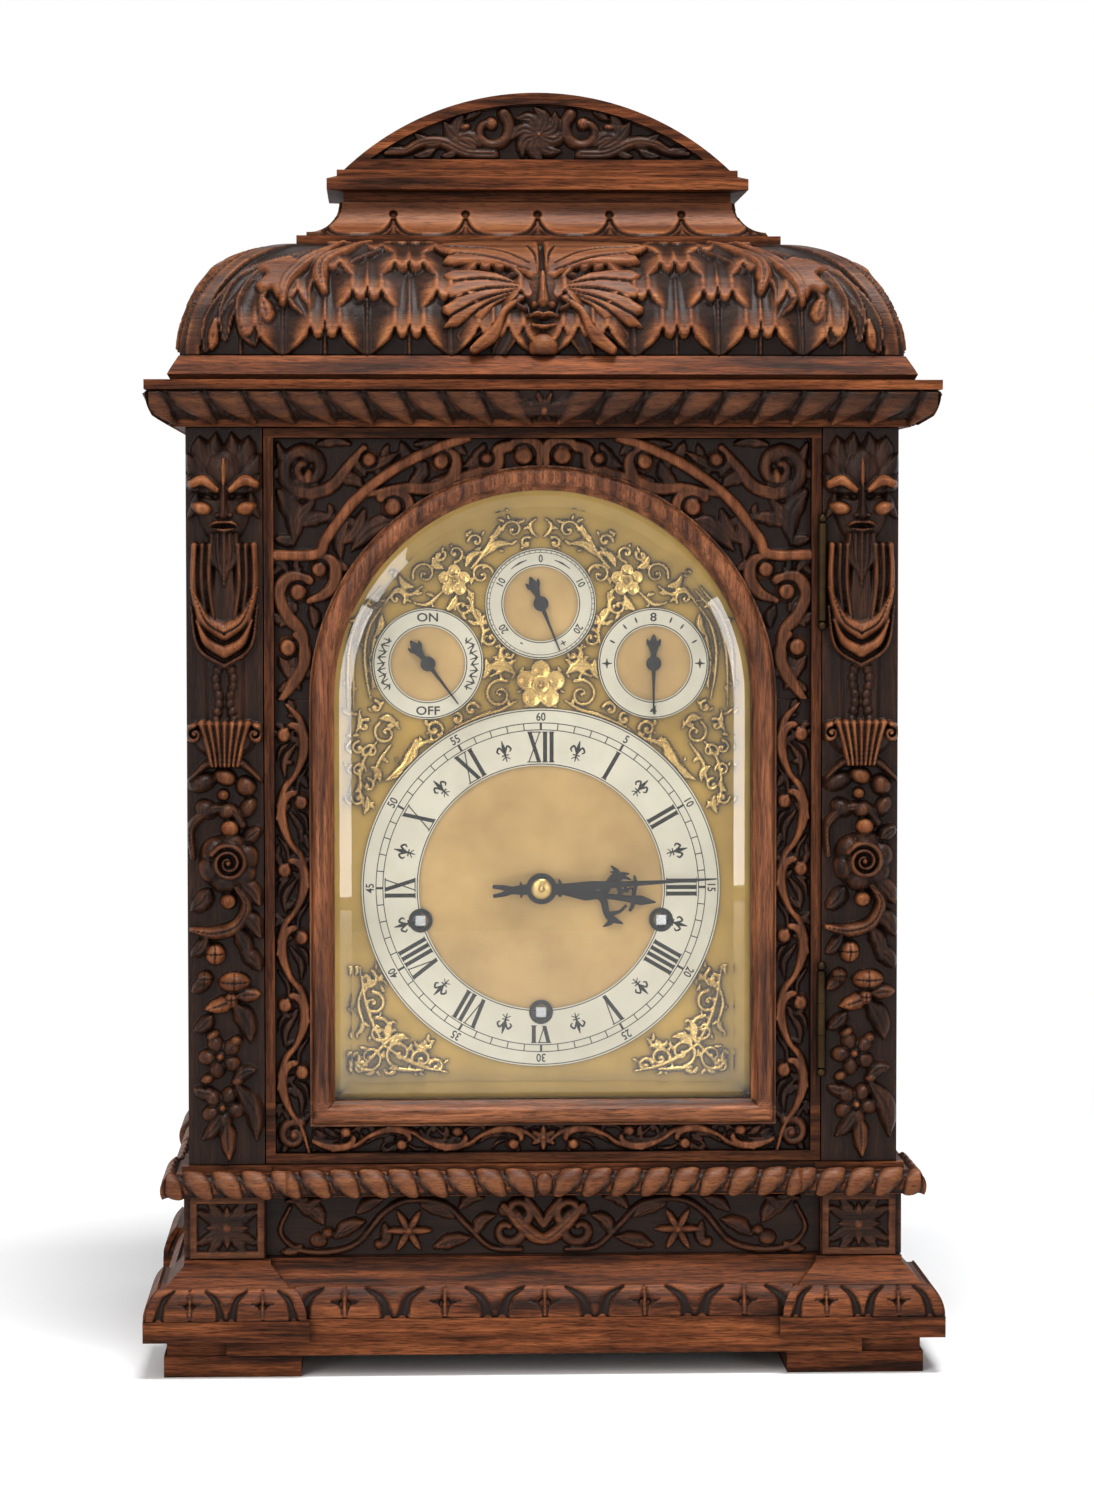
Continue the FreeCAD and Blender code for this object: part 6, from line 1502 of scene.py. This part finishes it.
def arch_casting():
    """Cast scrolls, flowers and leaves round the three small dials."""
    relief = Relief(-103, 103, 290, Z_ARCH + 101.5, 0.48, both=True, rough=0.0)
    relief.rosette((0.0, 361.5), 13.5, 5, 3.2, 90)
    relief.rosette((-46.2, 417.4), 9.0, 5, 3.0, 90)
    scrolls = (
        ((-62, 421), 6.6, 1.2, 200, -1), ((-31.5, 420.5), 6.6, 1.2, -20, 1),
        ((-41.5, 403.8), 5.2, 1.1, 60, -1), ((-45.7, 432), 4.6, 1.1, -90, 1),
        ((-54, 431), 3.4, 1.0, 30, -1), ((-34.7, 438.5), 4.0, 1.0, 180, -1),
        ((-14.8, 444.5), 5.4, 1.1, 180, -1), ((-7.5, 437.5), 3.4, 1.0, 60, 1),
        ((-26.9, 386.6), 5.0, 1.1, 100, 1), ((-17.5, 378), 4.8, 1.1, 200, -1),
        ((-22, 356.5), 8.2, 1.3, 60, 1), ((-37, 348.5), 4.0, 1.0, 20, 1), ((-45, 343.5), 3.6, 1.0, 120, -1),
        ((-57, 338), 4.6, 1.1, 0, 1), ((-83, 336), 6.4, 1.1, 120, 1), ((-94, 340), 3.6, 1.0, 60, 1),
        ((-97.5, 328), 3.8, 1.0, 90, 1), ((-91, 326), 4.4, 1.1, 200, -1), ((-97.5, 316), 4.0, 1.1, 0, 1),
        ((-92.5, 308), 3.6, 1.0, 90, -1), ((-98, 301), 3.4, 1.0, 180, 1), ((-77, 408), 4.8, 1.0, -30, 1),
        ((-29, 396), 3.6, 1.0, 0, 1), ((-88.5, 350), 3.4, 1.0, 90, -1),
    )
    for centre, radius, turns, start, way in scrolls:
        relief.scroll(centre, radius, turns, start, way, 1.5, 2.7, 0.9, 1.5)
    stems = (
        [(-63, 414.5), (-70, 410), (-77, 413), (-84, 404)],
        [(-83, 412), (-92, 401), (-98, 387), (-100, 372), (-100, 350)],
        [(-85, 403), (-91, 394), (-94, 382), (-93.5, 368), (-91, 354)],
        [(-37, 424), (-31, 431), (-25, 441), (-17, 449)],
        [(-2.5, 450.5), (-5.6, 447.5), (-4.6, 443.5), (-1.6, 440.5)],
        [(-36, 411), (-36, 401), (-31, 392), (-32, 383)],
        [(-13, 353), (-22, 348), (-32, 345), (-44, 339), (-54, 333)], [(-54, 333), (-62, 331), (-67, 327)],
        [(-88, 331), (-95, 321), (-97, 308), (-95, 297)], [(-80, 330), (-87, 320), (-89, 310)],
        [(-53, 411), (-60, 405), (-66, 405)], [(-22, 383), (-20, 371), (-27, 366)],
    )
    for stem in stems:
        relief.stroke(stem, [0.9, 1.7, 1.6, 0.8], 2.5, 0.9)
    leaves = (
        ((-66.5, 332), (-84, 310), 4.6, 0.15), ((-28, 371), (-13, 367), 4.0, 0.2),
        ((-30, 431), (-15, 437), 3.4, 0.2), ((-40, 425), (-31, 433), 3.0, 0.2),
        ((-52, 424), (-58, 431), 2.8, 0.2), ((-68, 414), (-76, 421), 2.8, 0.2),
        ((-85, 399), (-89, 387), 3.0, 0.1), ((-89, 388), (-91.5, 375), 2.8, 0.1),
        ((-91, 374), (-90, 359), 2.8, 0.1), ((-86, 344), (-77, 340), 2.8, 0.2),
        ((-97, 347), (-99, 336), 2.4, 0.1), ((-45, 409), (-51, 401), 3.0, 0.1),
        ((-29, 375), (-33, 364), 3.0, 0.2), ((-91, 318), (-86, 309), 2.6, 0.2),
        ((-96, 310), (-100, 304), 2.4, 0.1), ((-93, 302), (-95, 292), 2.6, 0.1),
        ((-22, 447), (-28, 440), 2.6, 0.2), ((-9, 347), (-16, 343), 2.8, 0.1),
    )
    relief.leaves(leaves, 2.8, 0.9)
    relief.fill(420, 4.4, 2.1, 0.9)
    keep = relief.height > 0.5
    for x, z in SMALL_DIALS.values():
        keep &= np.hypot(relief.u - x, relief.v - z) > SMALL_RING + 0.5
    ring_clear = 96.6
    keep &= np.hypot(relief.u, relief.v - Z_DIAL) > ring_clear
    casting = carved(
        "arch_casting", relief, on_front(DIAL_FRONT), GILT, keep=keep, depth=-0.05
    )
    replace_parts(casting, "arch_spandrel")


def corner_castings():
    """Cast scrolls in the two lower corners."""
    corner = (9.0 - SIGHT, Z_SILL + 9.0)
    relief = Relief(corner[0], corner[0] + 52, corner[1], corner[1] + 62, 0.45, rough=0.0)
    scrolls = (
        ((9, 10), 8.0, 1.2, 200, 1), ((14, 24), 7.6, 1.2, 100, -1), ((11, 39), 6.4, 1.2, 90, -1),
        ((25, 12), 7.8, 1.2, -100, -1), ((37, 9), 5.6, 1.2, 200, -1), ((8, 52), 5.2, 1.2, 60, -1),
        ((45, 5), 4.0, 1.1, 160, -1), ((4, 4), 3.6, 1.1, 30, 1),
    )
    for centre, radius, turns, start, way in scrolls:
        relief.scroll(moved([centre], corner)[0], radius, turns, start, way, 1.8, 3.0, 0.9, 1.8)
    stems = (
        [(3, 3), (9, 9), (17, 17), (24, 23)], [(17, 16), (10, 30), (6, 44), (4, 58)],
        [(16, 17), (28, 9), (40, 4), (51, 2)], [(6, 28), (3, 38), (5, 48)], [(20, 4), (30, 3), (38, 3)],
    )
    for stem in stems:
        relief.stroke(moved(stem, corner), [1.2, 2.0, 1.6, 0.7], 3.0, 0.9)
    leaves = (
        ((19, 19), (22, 30), 3.0, 0.2), ((20, 17), (31, 20), 3.0, 0.2), ((5, 30), (1, 22), 2.4, 0.2),
        ((24, 5), (17, 1), 2.4, 0.2), ((7, 46), (12, 52), 2.2, 0.2), ((36, 13), (43, 15), 2.2, 0.2),
        ((12, 4), (6, 1), 2.2, 0.2), ((3, 12), (1, 6), 2.0, 0.2),
    )
    relief.leaves(leaves, 3.0, 0.9, corner)
    relief.fill(180, 4.6, 2.5, 0.9)
    ring_clear = 96.8
    keep = (relief.height > 0.5) & (np.hypot(relief.u, relief.v - Z_DIAL) > ring_clear)
    for name, turn in (("left", 1), ("right", -1)):
        lay = on_front(DIAL_FRONT, turn)
        casting = carved(
            "corner_casting_" + name, relief, lay, GILT, keep=keep, depth=-0.05
        )
        if turn > 0:
            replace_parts(casting, "corner_spandrels")


def matted_grounds():
    """Matted grounds inside the chapter ring and the three small rings."""
    solid = Solid(DIAL_FRONT - 0.12, DIAL_FRONT + 0.1)
    large, large_hole, small, small_hole = 66.0, 6.0, 20.2, 2.4
    solid.ring(0, Z_DIAL, large, large_hole)
    for x, z in SMALL_DIALS.values():
        solid.ring(x, z, small, small_hole, 90)
    solid.piece("matted_grounds", MATT_BRASS, "case", "brass")


def winding_collars():
    """Black rings in the winding holes, deep enough to keep the holes dark: painted shade for the inside of
    each hole.
    """
    solid = Solid(DIAL_FRONT - 1.9, DIAL_FRONT + 8.0)
    outer, inner = 6.4, 4.2
    for train in ("strike", "going", "chime"):
        low, high = reach(train + "_winding_arbor")
        solid.ring((low[0] + high[0]) / 2, (low[2] + high[2]) / 2, outer, inner, 48)
    solid.piece("winding_collars", INK, "case", "iron")


# Hands


def paired(points, widths):
    """A stroke and its mirror image."""
    return [(points, widths), ([(-a, b) for a, b in points], widths)]


HOUR_HAND = (
    ([(0, 0), (0, 12), (0, 24), (0, 33)], [3.2, 2.2, 3.8, 1.4]),
    ([(0, 9.5), (0, 11.5)], [3.4]),
    *paired([(0, 30), (-2.5, 34), (-8, 36), (-11.5, 38)], [1.6, 2.0, 1.8, 1.6]),
    *paired([(-10, 38.5), (-13.5, 39), (-16.5, 35.5)], [2.2, 1.7, 0.3]),
    *paired([(-10.5, 38), (-12.5, 42), (-13.5, 46)], [2.0, 1.4, 0.3]),
    *paired([(-9.5, 37), (-7.5, 43), (-3.5, 46.5)], [1.3, 0.9, 0.8]),
    ([(0, 32), (0, 46), (0, 54), (0, 62)], [1.3, 1.7, 2.6, 0.3]),
    *paired([(-6.5, 48.5), (-3, 49.8), (0, 49.5)], [0.8, 1.2, 1.0]),
)
MINUTE_HAND = (
    *paired([(0, -8), (0, -15), (-1.6, -20), (-2.6, -26)], [3.0, 2.0, 1.5, 0.9]),
    ([(-4.2, -11), (0, -10.4), (4.2, -11)], [0.5, 1.2, 0.5]),
    ([(-4.4, 9.6), (0, 10.6), (4.4, 9.6)], [0.5, 1.4, 0.5]),
    ([(0, 0), (0, 12), (0, 26), (0, 40), (0, 52)], [3.2, 2.0, 2.6, 1.7, 1.3]),
    *paired([(0, 40), (-3.5, 42), (-6, 41), (-7, 37)], [1.0, 1.6, 1.2, 0.3]),
    *paired([(-3.4, 42), (-3.6, 45), (-2.0, 48)], [1.2, 0.9, 0.4]),
    ([(-4.4, 50), (0, 50.4), (4.4, 50)], [0.5, 1.3, 0.5]),
    ([(0, 48), (0, 66), (0, 84), (0, 94)], [1.5, 0.9, 0.7, 0.3]),
)
SMALL_HAND = (
    ([(0, 0), (0, 12), (0, 27)], [1.3, 0.7, 0.35]),
    ([(0, 0), (0, -5), (0, -10), (0, -15.5)], [1.8, 1.4, 3.0, 0.5]),
    *paired([(-3.6, -13), (-2.4, -10.5), (0, -9.5)], [0.3, 1.4, 1.2]),
)


def cut_hand(strokes, x, z, turn, y, thick, bevel):
    """Flat bands that overlap, each a hair from the next in depth."""
    solid = Solid()
    for index, (points, widths) in enumerate(strokes):
        front = y - 0.012 * index
        solid.between(front, front + thick).ribbon(dial_shape(x, z, turn, points), widths, 0.5, bevel)
    return solid


def hands():
    """The two large hands with their bosses, the brass collet over them, and the three small hands."""
    thick = 1.0
    large = (
        ("hour_hand", HOUR_HAND, 97.25, (8.0, 3.4, 0.3), "hour_pipe"),
        ("minute_hand", MINUTE_HAND, 87.0, (8.3, 2.6, 0.5), "minute_arbor"),
    )
    for node, strokes, turn, (outer, inner, tall), body in large:
        y = reach(node)[0][1]
        solid = cut_hand(strokes, 0, Z_DIAL, turn, y, thick, bevel=0.12)
        solid.between(y - tall, y + thick).ring(0, Z_DIAL, outer, inner, 48)
        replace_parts(solid.piece(node + "_cut", BLUED, body, "blued_steel"), node)
    low, high = (corner[1] for corner in reach("hand_collet"))
    collet = Solid()
    sections = (
        (5.5, high), (5.7, high - 0.8), (5.2, low + 0.5), (3.6, low - 0.1), (1.7, low - 0.4),
        (1.2, low - 1.2), (0.5, low - 1.5),
    )
    collet.lathe(0, Z_DIAL, sections)
    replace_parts(collet.piece("hand_collet_turned", BRASS, "minute_arbor", "brass"), "hand_collet")
    small = (
        ("regulator_hand", "top", 158.0, "regulator"),
        ("chime_silent_hand", "left", 143.0, "chime_silent"),
        ("tune_hand", "right", 180.0, "tune_selector"),
    )
    for node, dial, turn, body in small:
        x, z = SMALL_DIALS[dial]
        y = reach(node)[0][1]
        solid = cut_hand(SMALL_HAND, x, z, turn, y, thick=0.6, bevel=0.1)
        boss = (
            (1.5, y + 4.0), (1.5, y + 0.7), (4.0, y + 0.6), (4.0, y - 0.3), (2.6, y - 0.9), (0.6, y - 1.1)
        )
        solid.lathe(x, z, boss, 40)
        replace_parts(solid.piece(node + "_cut", BLUED, body, "blued_steel"), node)


# Finishes of the solids that show as they are


SOLID_FINISHES = (
    (OAK_RAIL, "feet corner_pedestals base_rails surbase_board cornice dome_moulding dome cove_cap pediment"
     " seat_board gong_blocks"),
    (OAK_BOARD, "side_panels"),
    (OAK_POST, "back_frame dial_surround door_frame rear_door_frame sound_frets"),
    (SATIN_BRASS, "dial_plate"),
    (SILVERED, "chapter_ring"),
    (DARK_BRASS, "door_hinge_leaves case_hinge_leaves hinge_pins rear_door_leaves rear_door_knob"),
    (GLASS, "rear_door_glass"),
    (STEEL, "strike_winding_arbor going_winding_arbor chime_winding_arbor gong_rods"),
)


def dress_solids():
    """Gives each solid its finish, and brass to those that aren't listed."""
    chosen = {name: finish for finish, names in SOLID_FINISHES for name in names.split()}
    for name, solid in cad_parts.items():
        finish = chosen.get(name, BRASS)
        if not solid.material_slots:
            solid.data.materials.append(finish)
        for slot in solid.material_slots:
            slot.material = finish


# Room, light and camera, in metres, degrees and watts


FLOOR = 2.6
WHITE_FROM, WHITE_BY = 0.45, 1.1
SKY_COLOUR, SKY_STRENGTH = (0.95, 0.97, 1.0, 1.0), 0.42
CAMERA_PLACE = (-0.0815, -2.2785, 0.4346)
CAMERA_TURNS = (90 - 2.81, 0.04, -2.214)
FOCAL_LENGTH, SENSOR = 98.7, 36.0
# Each lamp's name, place, height of the point it aims at, size, power and colour
LAMPS = (
    ("key", (-1.45, -2.5, 1.75), 0.40, (1.3, 1.6), 48, (1.0, 0.98, 0.95)),
    ("strip", (-1.36, -2.70, 0.48), 0.40, (0.42, 0.95), 11, (1.0, 1.0, 1.0)),
    ("fill", (1.58, -2.70, 0.50), 0.40, (0.45, 0.98), 14, (1.0, 1.0, 1.0)),
    ("top", (0.2, -0.7, 2.2), 0.5, (1.0, 0.8), 68, (1.0, 1.0, 1.0)),
)


def fade_to_white(finish):
    """Lets the floor run out to plain white, for the camera only, well away from the object's shadow."""
    length = finish.node("VectorMath", {0: finish.place}, operation="LENGTH").outputs["Value"]
    span = {"Value": length, "From Min": WHITE_FROM, "From Max": WHITE_BY}
    far = finish.node("MapRange", span, interpolation_type="SMOOTHSTEP").outputs[0]
    seen = finish.math("MULTIPLY", far, finish.node("LightPath").outputs["Is Camera Ray"])
    white = finish.node("Emission").outputs[0]
    shown = finish.node("MixShader", {0: seen, 1: finish.shader.outputs[0], 2: white}).outputs[0]
    feed(finish.tree, finish.tree.nodes["Material Output"].inputs["Surface"], shown)


def room():
    """A pale floor, and a surround that lights softly and shows plain white, in mirrors and glass too."""
    finish = Finish("studio_floor")
    shade = finish.noise((1.5, 1.5, 1.5), 2.0)
    finish.set(Base_Color=finish.ramp(shade, [(0.3, 0.86), (0.7, 0.90)]))
    finish.rough(shade, 0.7, 0.9)
    finish.bump(finish.noise((60.0, 60.0, 60.0), 3.0), 0.1, 0.0005)
    fade_to_white(finish)
    mesh = bpy.data.meshes.new("floor")
    corners = [(-FLOOR, -FLOOR, 0), (FLOOR, -FLOOR, 0), (FLOOR, FLOOR, 0), (-FLOOR, FLOOR, 0)]
    mesh.from_pydata(corners, [], [(0, 1, 2, 3)])
    mesh.materials.append(finish.made)
    floor = bpy.data.objects.new("floor", mesh)
    bpy.context.scene.collection.objects.link(floor)
    floor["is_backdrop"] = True
    world = bpy.data.worlds.new("studio")
    bpy.context.scene.world = world
    world.use_nodes = True
    tree = world.node_tree
    soft = tree.nodes["Background"]
    feed(tree, soft.inputs["Color"], SKY_COLOUR)
    feed(tree, soft.inputs["Strength"], SKY_STRENGTH)
    white = add_node(tree, "Background", {"Color": (1.0, 1.0, 1.0, 1.0)})
    rays = add_node(tree, "LightPath").outputs
    seen = rays["Is Camera Ray"]
    for name in ("Is Glossy Ray", "Is Transmission Ray"):
        seen = add_node(tree, "Math", {0: seen, 1: rays[name]}, operation="MAXIMUM").outputs[0]
    shown = add_node(tree, "MixShader", {0: seen, 1: soft.outputs[0], 2: white.outputs[0]}).outputs[0]
    feed(tree, tree.nodes["World Output"].inputs["Surface"], shown)


def light_and_camera():
    """Soft lamps, two of them strips that the glass bevel mirrors, and the camera."""
    for name, place, aim, size, watts, colour in LAMPS:
        light = bpy.data.lights.new(name, "AREA")
        light.shape = "RECTANGLE"
        light.size, light.size_y = size
        light.energy = watts
        light.color = colour
        holder = bpy.data.objects.new(name, light)
        bpy.context.scene.collection.objects.link(holder)
        holder.location = place
        across, along, up = np.array((0, 0, aim)) - np.array(place)
        level = math.hypot(across, along)
        holder.rotation_euler = (math.atan2(level, -up), 0, math.atan2(-across, along))
    lens = bpy.data.cameras.new("camera")
    lens.sensor_fit = "VERTICAL"
    lens.sensor_height = SENSOR
    lens.lens = FOCAL_LENGTH
    camera = bpy.data.objects.new("camera", lens)
    bpy.context.scene.collection.objects.link(camera)
    camera.location = CAMERA_PLACE
    camera.rotation_euler = [math.radians(turn) for turn in CAMERA_TURNS]
    bpy.context.scene.camera = camera
    bpy.context.scene.view_settings.view_transform = "Standard"


dress_solids()
door_head()
door_sides()
door_window()
cornice_bands()
surbase_bands()
plinth_bands()
frieze()
die_rosettes()
dome_carving()
dome_mask()
cove_tracery()
tympanum()
pilaster_carving()
dial_marks()
small_dial_marks()
matted_grounds()
arch_casting()
corner_castings()
winding_collars()
hands()
room()
light_and_camera()
visual_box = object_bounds()
boxes = {"cad": cad_box, "visual": visual_box}
{name: [list(map(float, corner)) for corner in box] for name, box in boxes.items()}
